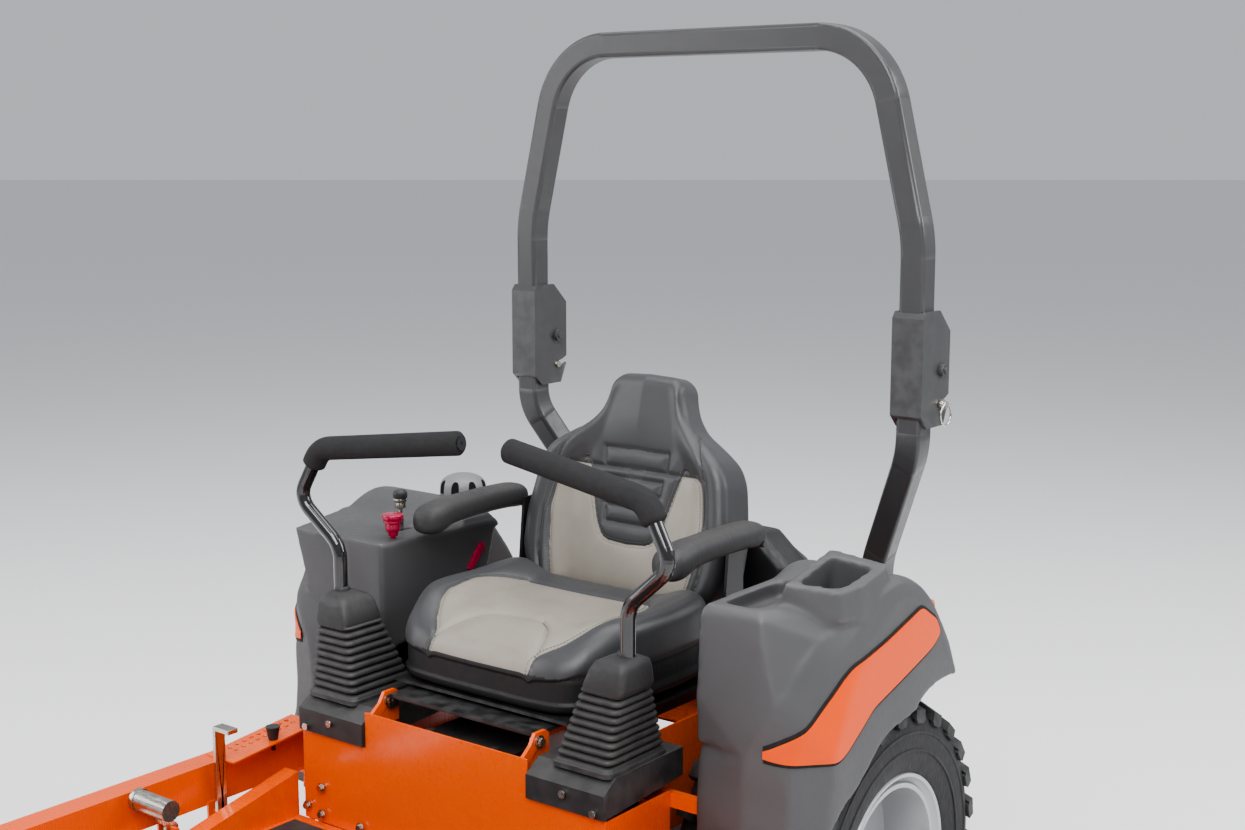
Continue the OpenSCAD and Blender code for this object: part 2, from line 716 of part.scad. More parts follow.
module caster_fork(left) color(orange) machine() on_side(left) translate([caster_x, caster_pivot_y, 0]) {
    half = caster_w / 2 + 6;
    crown = hub_low - seat_gap;
    rod_z(crown - 2, hub_top + seat_gap + 1, 0, 0, 28);
    rod_z(hub_top + seat_gap, hub_top + 11, 0, 0, 46);
    block([-half - 10, -34, crown - 22], [half + 10, 62, crown]);
    for (x = [-half - 10, half]) slab_x(x, x + 10) polygon([
        [-34, crown - 10], [62, crown - 10], [caster_trail + 24, caster_d / 2 + 30],
            [caster_trail + 24, caster_d / 2 - 24],
        [caster_trail - 24, caster_d / 2 - 24], [caster_trail - 24, caster_d / 2 + 40]]);
    rod_x(-half - 22, half + 22, caster_trail, caster_d / 2, 16);
}
module caster_fork_left() caster_fork(true);
module caster_fork_right() caster_fork(false);

module caster_wheel(left) color(black) machine() on_side(left)
    translate([caster_x, caster_axle_y, caster_d / 2]) {
    half = caster_w / 2;
    about_x() tire_profile(-half, half, 84, caster_d / 2);
    color(steel) about_x() polygon([
        [8 + run, -half - 3], [30, -half - 3], [30, -10], [76, -10], [76, -half + 14], [83.7, -half + 14],
        [83.7, half - 14], [76, half - 14], [76, 10], [30, 10], [30, half + 3], [8 + run, half + 3]]);
}
module caster_wheel_left() caster_wheel(true);
module caster_wheel_right() caster_wheel(false);

// ---- Lap bars ----

lever_path = [[0, swing_z + 18], [0, 828], [85, 900], [85, 925], [40, 1004], [-280, lever_top_z]];
lever_bends = [0, 55, 40, 40, 60, 0];
lever_turn = -6;

module at_lever() translate([lever_x + 3, lever_y, 0]) rotate(lever_turn) upright() children();

module lap_bar(left) color(black) cab() on_side(left) {
    at_lever() bent(lever_path, lever_bends) round_section(lever_d);
    difference() {
        block([lever_x - 13, lever_y - 13.5, swing_z - 16], [lever_x + 13, lever_y + 13.5, swing_z + 30]);
        rod_y(lever_y - 20, lever_y + 20, lever_x, swing_z, 12 + 2 * run);
    }
}
module lap_bar_left() lap_bar(true);
module lap_bar_right() lap_bar(false);

module grip(left) color(black) cab() on_side(left) {
    start = lever_path[3] + (lever_path[4] - lever_path[3]) * 0.55;
    end = lever_path[5] - (lever_path[5] - lever_path[4]) / norm(lever_path[5] - lever_path[4]) * seat_gap;
    at_lever() bent([start, lever_path[4], lever_path[5]], [0, 60, 0]) round_section(grip_d, lever_d + 0.4);
    at_lever() translate([lever_path[5][0], lever_path[5][1], 0])
        rotate(heading(lever_path[4], lever_path[5])) rotate([0, 90, 0])
        translate([0, 0, seat_gap]) cylinder(h = 8, d1 = grip_d, d2 = grip_d - 14);
}
module grip_left() grip(true);
module grip_right() grip(false);

module lever_pivot(left) color(steel) cab() on_side(left) {
    difference() {
        union() {
            rod_x(lever_x - 42, lever_x + 14, lever_y, drive_z, 34);
            slab_x(lever_x - 14, lever_x + 14) for (side = [-1, 1])
                translate([lever_y + side * 17 - 3, drive_z]) square([6, swing_z - drive_z + 12]);
        }
        rod_x(lever_x - 60, lever_x + 20, lever_y, drive_z, 16 + 2 * run);
    }
    rod_y(lever_y - 22, lever_y + 22, lever_x, swing_z, 12);
}
module lever_pivot_left() lever_pivot(true);
module lever_pivot_right() lever_pivot(false);

module lever_boxes() color(black) cab() left_right() difference() {
    slab_x(box_in, box_out) polygon([
        [panel_y - 6, box_low], [118, box_low + 14], [118, panel_top], [-62, panel_top],
            [panel_y - 6, panel_top - 22]]);
    slab_x(box_in + sheet, box_out - sheet) polygon([
        [panel_y - 2, box_low - 5], [114, box_low - 5], [114, panel_top - sheet], [-62, panel_top - sheet],
        [panel_y - 2, panel_top - 26]]);
    block([lever_x - 21, lever_y - 54, 540], [lever_x + 20, lever_y + 44, 580]);
}

// A plain closed shape where the folded rubber boot goes
module boot(left) color(black) cab() on_side(left) difference() {
    z0 = panel_top + seat_gap;
    union() {
        hull() {
            block([228, -78, z0], [348, 84.5, z0 + 4]);
            block([268, -50, 690], [348, 40, 694]);
        }
        hull() {
            block([272, -46, 690], [347, 36, 696]);
            rod_z(736, 740, lever_x + 2, lever_y + 1, 40);
        }
    }
    hull() {
        block([234, -72, z0 - 2], [345, 78.5, z0 + 2]);
        block([274, -44, 684], [345, 34, 688]);
    }
    block([lever_x - 20, lever_y - 26, 600], [lever_x + 17, lever_y + 26, 690]);
    rod_z(600, 760, lever_x + 3, lever_y, lever_d + 2 * seat_gap);
}
module boot_left() boot(true);
module boot_right() boot(false);

// ---- Seat ----

module seat_plate() color(black) cab() {
    block([-169, -46, plate_top - 6], [169, 130, plate_top]);
    block([-235, 130, plate_top - 6], [235, 415, plate_top]);
    left_right() {
        block([163, -50, hinge_z - 12], [169, -28, plate_top]);
        rod_x(160, 184, hinge_y, hinge_z, 10);
        block([215, 140, 562], [221, 410, plate_top]);
    }
}

// Rear face of the backrest at height z
function back_face(z) = back_foot[0] + back_t / cos(back_tilt) + (z - back_foot[1]) * tan(back_tilt);

module seat_base() color(black) cab() {
    low = plate_top + seat_gap;
    left_right() {
        block([120, 20, low], [150, 360, pan_top - 3]);
        difference() {
            slab_x(bracket_x, bracket_x + 6) polygon([[378, pan_top], [450, pan_top], [446, 862],
                [404, 862]]);
        }
        block([bracket_x - 30, 384, pan_top - 6], [bracket_x + 6, 445, pan_top]);
        rod_x(bracket_x + 5, bracket_x + 6 + armrest_w, arm_pivot[0], arm_pivot[1], 12);
    }
    block([-200, 0, pan_top - 6], [200, 445, pan_top]);
    block([-bracket_x, 400, pan_top - 6], [bracket_x, 445, pan_top]);
    // Back support between the brackets
    left_right() block([150, 462, pan_top - 6], [170, 468, pan_top + 10]);
    left_right() slab_x(150, 170) polygon([[440, pan_top - 6], [468, pan_top - 6],
        [back_face(790) + 22, 790], [back_face(790) + 0.5, 790], [back_face(738) + 0.5, 738]]);
}

module seat_cushion() color(seat_grey) cab() {
    z0 = pan_top + seat_gap;
    side = [[-38, z0], [366, z0], [366, z0 + cushion_h - 6], [300, z0 + cushion_h - 14],
        [160, z0 + cushion_h - 8],
        [60, z0 + cushion_h], [0, z0 + cushion_h - 22], [-38, z0 + cushion_h - 62]];
    slab_x(-cushion_front_w / 2, cushion_front_w / 2) polygon(side);
    intersection() {
        slab_x(-cushion_w / 2, cushion_w / 2) polygon(side);
        linear_extrude(900) polygon([[-cushion_front_w / 2, 98], [cushion_front_w / 2, 98],
            [cushion_w / 2, 128],
            [cushion_w / 2, 366], [-cushion_w / 2, 366], [-cushion_w / 2, 128]]);
    }
}

module seat_back() color(seat_grey) cab() translate([0, back_foot[0],
    back_foot[1]]) rotate([-back_tilt, 0, 0])
    slab_y(0, back_t) polygon([
        [-back_w / 2 + 22, 0], [back_w / 2 - 22, 0], [back_w / 2, 40], [back_w / 2, 150],
            [back_w / 2 - 14, 230],
        [150, 272], [122, 304], [95, 392], [-95, 392], [-122, 304], [-150, 272], [-back_w / 2 + 14, 230],
        [-back_w / 2, 150], [-back_w / 2, 40]]);

module armrest(left) color(black) cab() on_side(left) difference() {
    slab_x(arm_x - armrest_w / 2, arm_x + armrest_w / 2) {
        polygon([[160, 838], [172, 830], [205, 834], [240, 846], [400, 822], [424, 822], [424, 866],
            [400, 882],
            [250, 887], [190, 878], [162, 858]]);
        translate([424, 844]) circle(22);
    }
    rod_x(arm_x - armrest_w, arm_x + armrest_w, arm_pivot[0], arm_pivot[1], 12 + 2 * run);
}
module armrest_left() armrest(true);
module armrest_right() armrest(false);

// ---- Foot controls ----

module lift_pedal() color(steel) cab() {
    roller = [-394, 445];
    difference() {
        slab_x(-slot_x - 8, -slot_x) {
            translate(pedal_pivot) circle(13);
            translate(roller) circle(14);
            polygon([pedal_pivot + [-12, 5], pedal_pivot + [12, 5], roller + [10, 5], roller + [-12, 0]]);
        }
        rod_x(-slot_x - 20, -slot_x + 20, pedal_pivot[0], pedal_pivot[1], 10 + 2 * run);
    }
    rod_x(-slot_x - 6, -slot_x + 4, roller[0], roller[1], 40);
    rod_x(-slot_x + 4, -slot_x + 84, roller[0], roller[1], 36);
}

module foot_lever() color(grey) cab() {
    difference() {
        slab_x(-slot_x - 4, -slot_x + 4) {
            translate(foot_pivot) circle(12);
            translate(foot_pivot + [-11, 0]) square([22, 162]);
        }
        rod_x(-slot_x - 20, -slot_x + 20, foot_pivot[0], foot_pivot[1], 10 + 2 * run);
    }
    block([-slot_x - 4, foot_pivot[0] - 11, foot_pivot[1] + 156],
        [-slot_x + 40, foot_pivot[0] + 11, foot_pivot[1] + 164]);
}

module height_pin() color(black) cab() translate([-slot_x, -98.5, 0]) {
    rod_z(448, 470, 0, 0, 8);
    translate([0, 0, 469.5]) cylinder(h = 24, d1 = 17, d2 = 27);
}

// ---- Console controls, on the right ----

module pto_knob() color(red) cab() translate([-pto_at[0], pto_at[1], 0]) {
    rod_z(770, 822, 0, 0, 10);
    translate([0, 0, 820]) cylinder(h = 26, d1 = 18, d2 = 30);
    rod_z(846, 850, 0, 0, 36);
}

module throttle_lever() color(black) cab() translate([-throttle_at[0], throttle_at[1], 0]) {
    difference() {
        union() {
            rod_x(-9, 9, 0, 775, 16);
            block([-2, -6, 775], [2, 6, 838]);
        }
        rod_x(-10, 10, 0, 775, 8 + 2 * run);
    }
    rod_z(836, 858, 0, 0, 8);
    translate([0, 0, 874]) sphere(d = 27);
    rod_z(856, 876, 0, 0, 22);
}

module choke_knob() color(black) cab() translate([-choke_at[0], choke_at[1], 0]) {
    rod_z(780, 820, 0, 0, 8);
    rod_z(819, 834, 0, 0, 26);
}

module ignition_key() color(black) cab() translate([-key_at[0], key_at[1], 0]) {
    rod_z(785, 820, 0, 0, 12);
    block([-2, -11, 819], [2, 11, 842]);
}

module latch_lever() color(red) cab() {
    rod_x(-console_in - 12, -console_in + 8, latch_at[0], latch_at[1], 10);
    slab_x(-console_in + 1, -console_in + 8) polygon([latch_at + [-8, 2], latch_at + [2, 9],
        latch_at + [9, 0],
        latch_at + [-18, -30], latch_at + [-30, -42], latch_at + [-38, -38], latch_at + [-28, -24]]);
}

// ---- Cutting deck ----

deck_plan_half = [[0, -285], [130, -285], [270, -200], [415, -118], [615, -106], [735, -22],
    [790, 98], [790, 280],
    [720, 420], [600, 470], [360, 470], [220, 380], [120, 300], [0, 300]];
function stretch(p) = [p[0] * deck_half / 790, p[1] + mid_spindle_y];
deck_outline = concat([for (p = deck_plan_half) stretch(p)],
    [for (i = [len(deck_plan_half) - 2 : -1 : 1]) [-stretch(deck_plan_half[i])[0],
        stretch(deck_plan_half[i])[1]]]);
spindles = [[0, mid_spindle_y], [spindle_x, outer_spindle_y], [-spindle_x, outer_spindle_y]];
chute_y = [outer_spindle_y - 170, outer_spindle_y + 90];

module deck_shell() color(orange) machine() {
    difference() {
        union() {
            difference() {
                translate([0, 0, deck_low]) linear_extrude(deck_h) polygon(deck_outline);
                translate([0, 0,
                    deck_low - 1]) linear_extrude(deck_h - 4) offset(delta = -5) polygon(deck_outline);
            }
            for (s = spindles) rod_z(deck_top - 30, deck_top + 24, s[0], s[1], 90);
            // Chute hinge lugs
            for (y = [chute_y[0] - 12, chute_y[1] + 2])
                block([-deck_half - 12, y, deck_top - 12], [-deck_half + 3, y + 10, deck_top + 4]);
        }
        for (s = spindles) rod_z(deck_top - 40, deck_top + 40, s[0], s[1], spindle_d + 2 * run);
        // Discharge opening
        block([-deck_half - 1, chute_y[0], deck_low - 1], [-deck_half + 12, chute_y[1], deck_top - 12]);
    }
    for (x = [-slot_x, slot_x], y = hanger_y) rod_z(deck_top - 2, outer_top - outer_h + 12, x, y, 10);
    // Bracket for the anti-scalp wheels
    for (x = [-150, 150]) difference() {
        block([x - 4, mid_spindle_y - 330, 60], [x + 4, mid_spindle_y - 267, deck_top]);
        rod_x(x - 10, x + 10, mid_spindle_y - 315, 75, 12 + 2 * run);
    }
    for (x = [chute_y[0] - 7]) rod_y(chute_y[0] - 12, chute_y[1] + 12, -deck_half - 7, deck_top - 4, 7);
}

module discharge_chute() color(black) machine() {
    x0 = -deck_half - 7;
    z0 = deck_top - 4;
    wide = [chute_y[0] + 2, chute_y[1] - 2];
    difference() {
        union() {
            rod_y(wide[0], wide[1], x0, z0, 13);
            slab_y(wide[0], wide[1]) polygon([[x0, z0 + 6.4], [x0 - chute_out + 60, z0 - 40],
                [x0 + 7 - chute_out, z0 - 86],
                [x0 + 10 - chute_out, z0 - 90], [x0 - chute_out + 63, z0 - 46], [x0, z0 + 2]]);
            for (y = [wide[0], wide[1] - 5]) slab_y(y, y + 5) polygon([[x0 - 2, z0 + 5],
                [x0 - chute_out + 60, z0 - 41],
                [x0 + 8 - chute_out, z0 - 87], [x0 + 20 - chute_out, z0 - 96], [x0 - 14, z0 - 80],
                    [x0 - 9, z0]]);
        }
        rod_y(wide[0] - 5, wide[1] + 5, x0, z0, 7 + 2 * run);
    }
}

// Spindle shaft with blade below and pulley above
module spindle(at, extra) color(steel) machine() translate([at[0], at[1], 0]) {
    blade_z = deck_low + 32;
    rod_z(blade_z - 12, belt_z + belt_h + 12 + extra, 0, 0, spindle_d);
    rod_z(blade_z - 16, blade_z, 0, 0, 44);
    block([-blade_len / 2, -32, blade_z], [blade_len / 2, 32, blade_z + 6]);
    rod_z(blade_z + 6, deck_top - 31, 0, 0, 50);
    pulley(belt_z);
    if (extra > 0) pulley(belt_z + extra);
}

module pulley(z) {
    rod_z(z - 0.5, z + belt_h + 0.5, 0, 0, 2 * belt_r);
    rod_z(z - 4, z - 0.5, 0, 0, 2 * belt_r + 26);
    rod_z(z + belt_h + 0.5, z + belt_h + 4, 0, 0, 2 * belt_r + 26);
}

belt_step = 20;
module blade_left() spindle(spindles[1], 0);
module blade_right() spindle(spindles[2], 0);
module blade_center() spindle(spindles[0], belt_step);

module belt_loop(points, z) translate([0, 0, z]) linear_extrude(belt_h - 1) difference() {
    hull() for (p = points) translate(p) circle(belt_r + 9);
    hull() for (p = points) translate(p) circle(belt_r + 0.6);
}

module belts() color(black) machine() {
    belt_loop(spindles, belt_z + 0.5);
    belt_loop([spindles[0], [0, engine_y]], belt_z + belt_step + 0.5);
}

module pto_clutch() color(steel) machine() translate([0, engine_y, 0]) difference() {
    union() {
        pulley(belt_z + belt_step);
        rod_z(belt_z + belt_step + belt_h + 4, belt_z + belt_step + belt_h + 40, 0, 0, 110);
    }
    rod_z(deck_top + 60, 400, 0, 0, 28 + 2 * run);
}

module deck_wheels() color(black) machine() {
    y = mid_spindle_y - 315;
    rod_x(-163, 163, y, 75, 12);
    left_right() rod_x(156, 196, y, 75, 84);
}

// ---- Rear guard and fasteners ----

module rear_guard() color(orange) machine() {
    back = front_y + machine_length;
    rod_x(-330, 330, back - 16, 600, 32);
    left_right() {
        block([high_rail_x + 25, back - 150, high_rail_z + 8], [high_rail_x + 33, back - 10, 440]);
        slab_x(high_rail_x + 25, high_rail_x + 33) polygon([[back - 60, 400], [back - 8, 400],
            [back - 8, 600], [back - 24, 600]]);
    }
    difference() {
        block([-60, back - 150, 360], [60, back - 20, high_rail_z]);
        rod_z(350, 380, 0, back - 45, 19);
    }
}

module fasteners() color(steel) cab() left_right() {
    // Lever box screws, panel screws
    rod_y(panel_y - 12, panel_y - 6, 270, 530, 13);
    rod_y(panel_y - 12, panel_y - 6, 332, 512, 13);
    rod_y(panel_y - 6, panel_y, 300, 402, 14);
    rod_y(panel_y - 6, panel_y, 338, 360, 14);
}

main_frame();
front_panel();
floor_pan();
floor_mat();
fender_left();
fender_right();
fender_trims();
fuel_tank();
battery();
engine_block();
blower_housing();
air_cleaner_cover();
muffler();
transaxles();
rops_uprights();
lever_boxes();
rear_guard();
fasteners();
boot_left();
boot_right();
rear_tire_left();
rear_tire_right();
rear_rim_left();
rear_rim_right();
caster_fork_left();
caster_fork_right();
caster_wheel_left();
caster_wheel_right();
rops_hoop();
lock_pin_left();
lock_pin_right();
seat_plate();
seat_base();
seat_cushion();
seat_back();
armrest_left();
armrest_right();
lever_pivot_left();
lever_pivot_right();
lap_bar_left();
lap_bar_right();
grip_left();
grip_right();
lift_pedal();
foot_lever();
height_pin();
pto_knob();
throttle_lever();
choke_knob();
ignition_key();
latch_lever();
fuel_cap();
deck_shell();
discharge_chute();
blade_left();
blade_center();
blade_right();
belts();
pto_clutch();
deck_wheels();
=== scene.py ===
import bmesh
import bpy
import math
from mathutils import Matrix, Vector
from mathutils.bvhtree import BVHTree
from mathutils.kdtree import KDTree


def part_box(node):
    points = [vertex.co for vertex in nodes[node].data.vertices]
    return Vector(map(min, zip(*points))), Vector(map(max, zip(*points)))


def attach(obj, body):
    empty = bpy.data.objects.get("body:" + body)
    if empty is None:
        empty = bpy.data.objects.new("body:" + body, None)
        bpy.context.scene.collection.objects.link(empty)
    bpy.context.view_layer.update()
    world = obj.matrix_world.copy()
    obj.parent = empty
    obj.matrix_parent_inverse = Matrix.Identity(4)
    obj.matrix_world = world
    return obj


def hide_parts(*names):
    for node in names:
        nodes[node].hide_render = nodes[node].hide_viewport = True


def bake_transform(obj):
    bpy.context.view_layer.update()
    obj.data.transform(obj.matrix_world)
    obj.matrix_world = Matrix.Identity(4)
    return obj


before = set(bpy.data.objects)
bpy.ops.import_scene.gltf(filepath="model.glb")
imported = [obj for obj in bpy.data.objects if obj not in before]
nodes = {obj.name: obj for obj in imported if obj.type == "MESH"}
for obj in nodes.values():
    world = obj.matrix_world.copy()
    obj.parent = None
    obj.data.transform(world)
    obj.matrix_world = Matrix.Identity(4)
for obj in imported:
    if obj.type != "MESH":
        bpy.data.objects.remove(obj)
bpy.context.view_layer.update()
scene = bpy.context.scene

# Every size below is in metres, measured from the machine's own middle plane
midX = (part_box("rear_tire_left")[0].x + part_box("rear_tire_right")[1].x) / 2
axleY = (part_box("rear_tire_left")[0].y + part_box("rear_tire_left")[1].y) / 2
axleZ = (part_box("rear_tire_left")[0].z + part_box("rear_tire_left")[1].z) / 2
bothSides = (("left", 1), ("right", -1))


def mid(x, y, z):
    return Vector((x + midX, y, z))


cameraSetup = {"place": (1.9448, -2.095, 1.565), "azimuth": 37.86, "elevation": 9.25, "lens": 49.81}


def buildCamera(setup):
    a, e = math.radians(setup["azimuth"]), math.radians(setup["elevation"])
    look = -Vector((math.sin(a) * math.cos(e), -math.cos(a) * math.cos(e), math.sin(e)))
    data = bpy.data.cameras.new("camera")
    data.lens = setup["lens"]
    data.sensor_width = 36
    data.clip_end = 60
    camera = bpy.data.objects.new("camera", data)
    camera.location = mid(*setup["place"])
    camera.rotation_mode = "QUATERNION"
    camera.rotation_quaternion = look.to_track_quat("-Z", "Y")
    scene.collection.objects.link(camera)
    scene.camera = camera


buildCamera(cameraSetup)
print("camera ready")


def newObject(name, verts, faces, *materials):
    mesh = bpy.data.meshes.new(name)
    mesh.from_pydata([tuple(v) for v in verts], [], [tuple(f) for f in faces])
    for material in materials:
        mesh.materials.append(material)
    obj = bpy.data.objects.new(name, mesh)
    scene.collection.objects.link(obj)
    return obj


def cleanUp(obj, angle=35, weld=1e-6):
    bm = bmesh.new()
    bm.from_mesh(obj.data)
    bmesh.ops.remove_doubles(bm, verts=bm.verts, dist=weld)
    bmesh.ops.recalc_face_normals(bm, faces=bm.faces)
    bm.to_mesh(obj.data)
    bm.free()
    softShade(obj, angle)
    return obj


def softShade(obj, angle=35):
    obj.data.polygons.foreach_set("use_smooth", [True] * len(obj.data.polygons))
    obj.data.set_sharp_from_angle(angle=math.radians(angle))


def bake(obj):  # turns live modifiers into a plain mesh
    bpy.context.view_layer.update()
    mesh = bpy.data.meshes.new_from_object(obj.evaluated_get(bpy.context.evaluated_depsgraph_get()))
    obj.modifiers.clear()
    obj.data = mesh
    return obj


def settle(obj, body, slot, *replaced):
    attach(obj, body)
    if replaced:
        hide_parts(*replaced)
    return obj


def loft(rings, capStart=True, capEnd=True):
    n = len(rings[0])
    faces = []
    for i in range(len(rings) - 1):
        for j in range(n):
            k = (j + 1) % n
            faces.append((i * n + j, i * n + k, (i + 1) * n + k, (i + 1) * n + j))
    if capStart:
        faces.append(tuple(reversed(range(n))))
    if capEnd:
        faces.append(tuple((len(rings) - 1) * n + j for j in range(n)))
    return [p for ring in rings for p in ring], faces


def lathe(profile, segments, place):  # profile is closed, as (radius, along the axle)
    rings = []
    for i in range(segments):
        a = 2 * math.pi * i / segments
        rings.append([place(r * math.cos(a), r * math.sin(a), s) for r, s in profile])
    n = len(profile)
    faces = [(i * n + j, i * n + (j + 1) % n, (i + 1) % segments * n + (j + 1) % n,
        (i + 1) % segments * n + j)
             for i in range(segments) for j in range(n)]
    return [p for ring in rings for p in ring], faces


def roundedRect(cx, cy, hx, hy, r, steps=5):
    points = []
    for sx, sy, start in ((1, 1, 0), (-1, 1, 90), (-1, -1, 180), (1, -1, 270)):
        for i in range(steps + 1):
            a = math.radians(start + 90 * i / steps)
            points.append((cx + sx * (hx - r) + r * math.cos(a), cy + sy * (hy - r) + r * math.sin(a)))
    return points


def roundPath(points, radii, step=0.006):  # corners become arcs
    points = [Vector(p) for p in points]
    out = [points[0]]
    for i in range(1, len(points) - 1):
        a, b, c = points[i - 1:i + 2]
        back, on = (a - b).normalized(), (c - b).normalized()
        half = back.angle(on) / 2
        trim = radii[i] / math.tan(half)
        centre = b + (back + on).normalized() * (radii[i] / math.sin(half))
        start, end = b + back * trim - centre, b + on * trim - centre
        turn = start.angle(end)
        count = max(2, int(turn * radii[i] / step))
        for k in range(count + 1):
            t = k / count
            arm = (start * math.sin((1 - t) * turn) + end * math.sin(t * turn)) / math.sin(turn)
            out.append(centre + arm)
    out.append(points[-1])
    return resample(out, step)


def resample(path, step):
    out = [path[0]]
    for a, b in zip(path, path[1:]):
        count = max(1, round((b - a).length / step))
        out += [a.lerp(b, (k + 1) / count) for k in range(count)]
    return out


def tube(path, radius, sides=16):  # radius is a number or a function of the length from the start
    rings, along = [], 0.0
    tangent = (path[1] - path[0]).normalized()
    normal = tangent.orthogonal().normalized()
    for i, p in enumerate(path):
        ahead = (path[min(i + 1, len(path) - 1)] - path[max(i - 1, 0)]).normalized()
        normal = (normal - ahead * normal.dot(ahead)).normalized()
        side = ahead.cross(normal)
        along += (p - path[i - 1]).length if i else 0
        r = radius(along) if callable(radius) else radius
        rings.append([p + (normal * math.cos(a) + side * math.sin(a)) * r
                      for a in [2 * math.pi * k / sides for k in range(sides)]])
    return loft(rings)


def merge(*parts):
    verts, faces = [], []
    for v, f in parts:
        faces += [tuple(i + len(verts) for i in face) for face in f]
        verts += v
    return verts, faces


def hull(points):
    bm = bmesh.new()
    for p in points:
        bm.verts.new(p)
    result = bmesh.ops.convex_hull(bm, input=bm.verts)
    loose = {v for v in result["geom_interior"] + result["geom_unused"] if isinstance(v, bmesh.types.BMVert)}
    bmesh.ops.delete(bm, geom=list(loose), context="VERTS")
    bm.verts.index_update()
    made = [v.co.copy() for v in bm.verts], [tuple(v.index for v in f.verts) for f in bm.faces]
    bm.free()
    return made


def boxShape(low, high):
    return hull([(x, y, z) for x in (low[0], high[0]) for y in (low[1], high[1]) for z in (low[2], high[2])])


def spline(table, t):  # smooth values through rows whose first number is the place
    rows = sorted(table)
    if t <= rows[0][0]:
        return list(rows[0][1:])
    if t >= rows[-1][0]:
        return list(rows[-1][1:])
    i = next(k for k in range(len(rows) - 1) if rows[k][0] <= t <= rows[k + 1][0])
    r0, r1, r2, r3 = rows[max(i - 1, 0)], rows[i], rows[i + 1], rows[min(i + 2, len(rows) - 1)]
    u = (t - r1[0]) / (r2[0] - r1[0])
    span = r2[0] - r1[0]
    out = []
    for a, b, c, d in list(zip(r0, r1, r2, r3))[1:]:
        m1 = (c - a) / max(r2[0] - r0[0], 1e-9) * span
        m2 = (d - b) / max(r3[0] - r1[0], 1e-9) * span
        h = (2 * u ** 3 - 3 * u ** 2 + 1) * b + (u ** 3 - 2 * u ** 2 + u) * m1
        out.append(h + (3 * u ** 2 - 2 * u ** 3) * c + (u ** 3 - u ** 2) * m2)
    return out


def smoothStep(a, b, t):
    t = min(1, max(0, (t - a) / (b - a)))
    return t * t * (3 - 2 * t)


def inside(p, loop):
    hit = False
    for (ax, ay), (bx, by) in zip(loop, loop[1:] + loop[:1]):
        if (ay > p[1]) != (by > p[1]) and p[0] < (bx - ax) * (p[1] - ay) / (by - ay) + ax:
            hit = not hit
    return hit


def curveThrough(points, count=12):  # an open smooth line through flat points
    rows = [(i, *p) for i, p in enumerate(points)]
    steps = (len(points) - 1) * count
    return [tuple(spline(rows, (len(points) - 1) * k / steps)) for k in range(steps + 1)]


def setAttribute(obj, name, values):
    attribute = obj.data.attributes.new(name, "FLOAT", "POINT")
    attribute.data.foreach_set("value", values)


def moulded(name, solids, cuts, voxel, smoothing, *materials):  # fuses solids into one soft-edged moulding
    obj = newObject(name, *merge(*solids), *materials)
    obj.data.materials.clear()
    remesh = obj.modifiers.new("fuse", "REMESH")
    remesh.mode, remesh.voxel_size = "VOXEL", voxel
    bake(obj)
    for i, cut in enumerate(cuts):
        tool = cleanUp(newObject(f"{name}_tool{i}", *cut))
        boolean = obj.modifiers.new("cut", "BOOLEAN")
        boolean.operation, boolean.object, boolean.solver = "DIFFERENCE", tool, "EXACT"
        bake(obj)
        bpy.data.objects.remove(tool)
    remesh = obj.modifiers.new("fuse", "REMESH")
    remesh.mode, remesh.voxel_size = "VOXEL", voxel
    smooth = obj.modifiers.new("soften", "SMOOTH")
    smooth.factor, smooth.iterations = 0.5, smoothing
    bake(obj)
    for material in materials:
        obj.data.materials.append(material)
    obj.data.polygons.foreach_set("use_smooth", [True] * len(obj.data.polygons))
    return obj


def shaderGroup(name, inputs, outputs):
    group = bpy.data.node_groups.new(name, "ShaderNodeTree")
    for label, kind, value in inputs:
        socket = group.interface.new_socket(label, in_out="INPUT", socket_type=kind)
        if value is not None:
            socket.default_value = value
    for label, kind in outputs:
        group.interface.new_socket(label, in_out="OUTPUT", socket_type=kind)
    return group, group.nodes.new("NodeGroupInput").outputs, group.nodes.new("NodeGroupOutput").inputs


def addNode(tree, kind, settings=None, **values):
    node = tree.nodes.new(kind)
    for key, value in (settings or {}).items():
        setattr(node, key, value)
    for key, value in values.items():
        socket = node.inputs[int(key[1:]) if key[0] == "i" and key[1:].isdigit() else key.replace("_", " ")]
        if isinstance(value, bpy.types.NodeSocket):
            tree.links.new(value, socket)
        else:
            socket.default_value = value
    return node


def maths(tree, operation, a, b=0.0, clamp=False):
    return addNode(tree, "ShaderNodeMath", {"operation": operation, "use_clamp": clamp}, i0=a,
        i1=b).outputs[0]


def scaled(tree, vector, stretch):
    return addNode(tree, "ShaderNodeVectorMath", {"operation": "MULTIPLY"}, i0=vector, i1=stretch).outputs[0]


def buildSurfaceTone():  # slow blotches over a surface, 0 to 1
    group, given, out = shaderGroup("surfaceTone",
        [("Vector", "NodeSocketVector", None), ("Scale", "NodeSocketFloat", 6.0)],
                                    [("Tone", "NodeSocketFloat")])
    noise = addNode(group, "ShaderNodeTexNoise", Vector=given["Vector"], Scale=given["Scale"], Detail=5.0,
        Roughness=0.6)
    ramp = addNode(group, "ShaderNodeMapRange", i0=noise.outputs[0], i1=0.3, i2=0.7, i3=0.0, i4=1.0)
    group.links.new(ramp.outputs[0], out["Tone"])
    return group


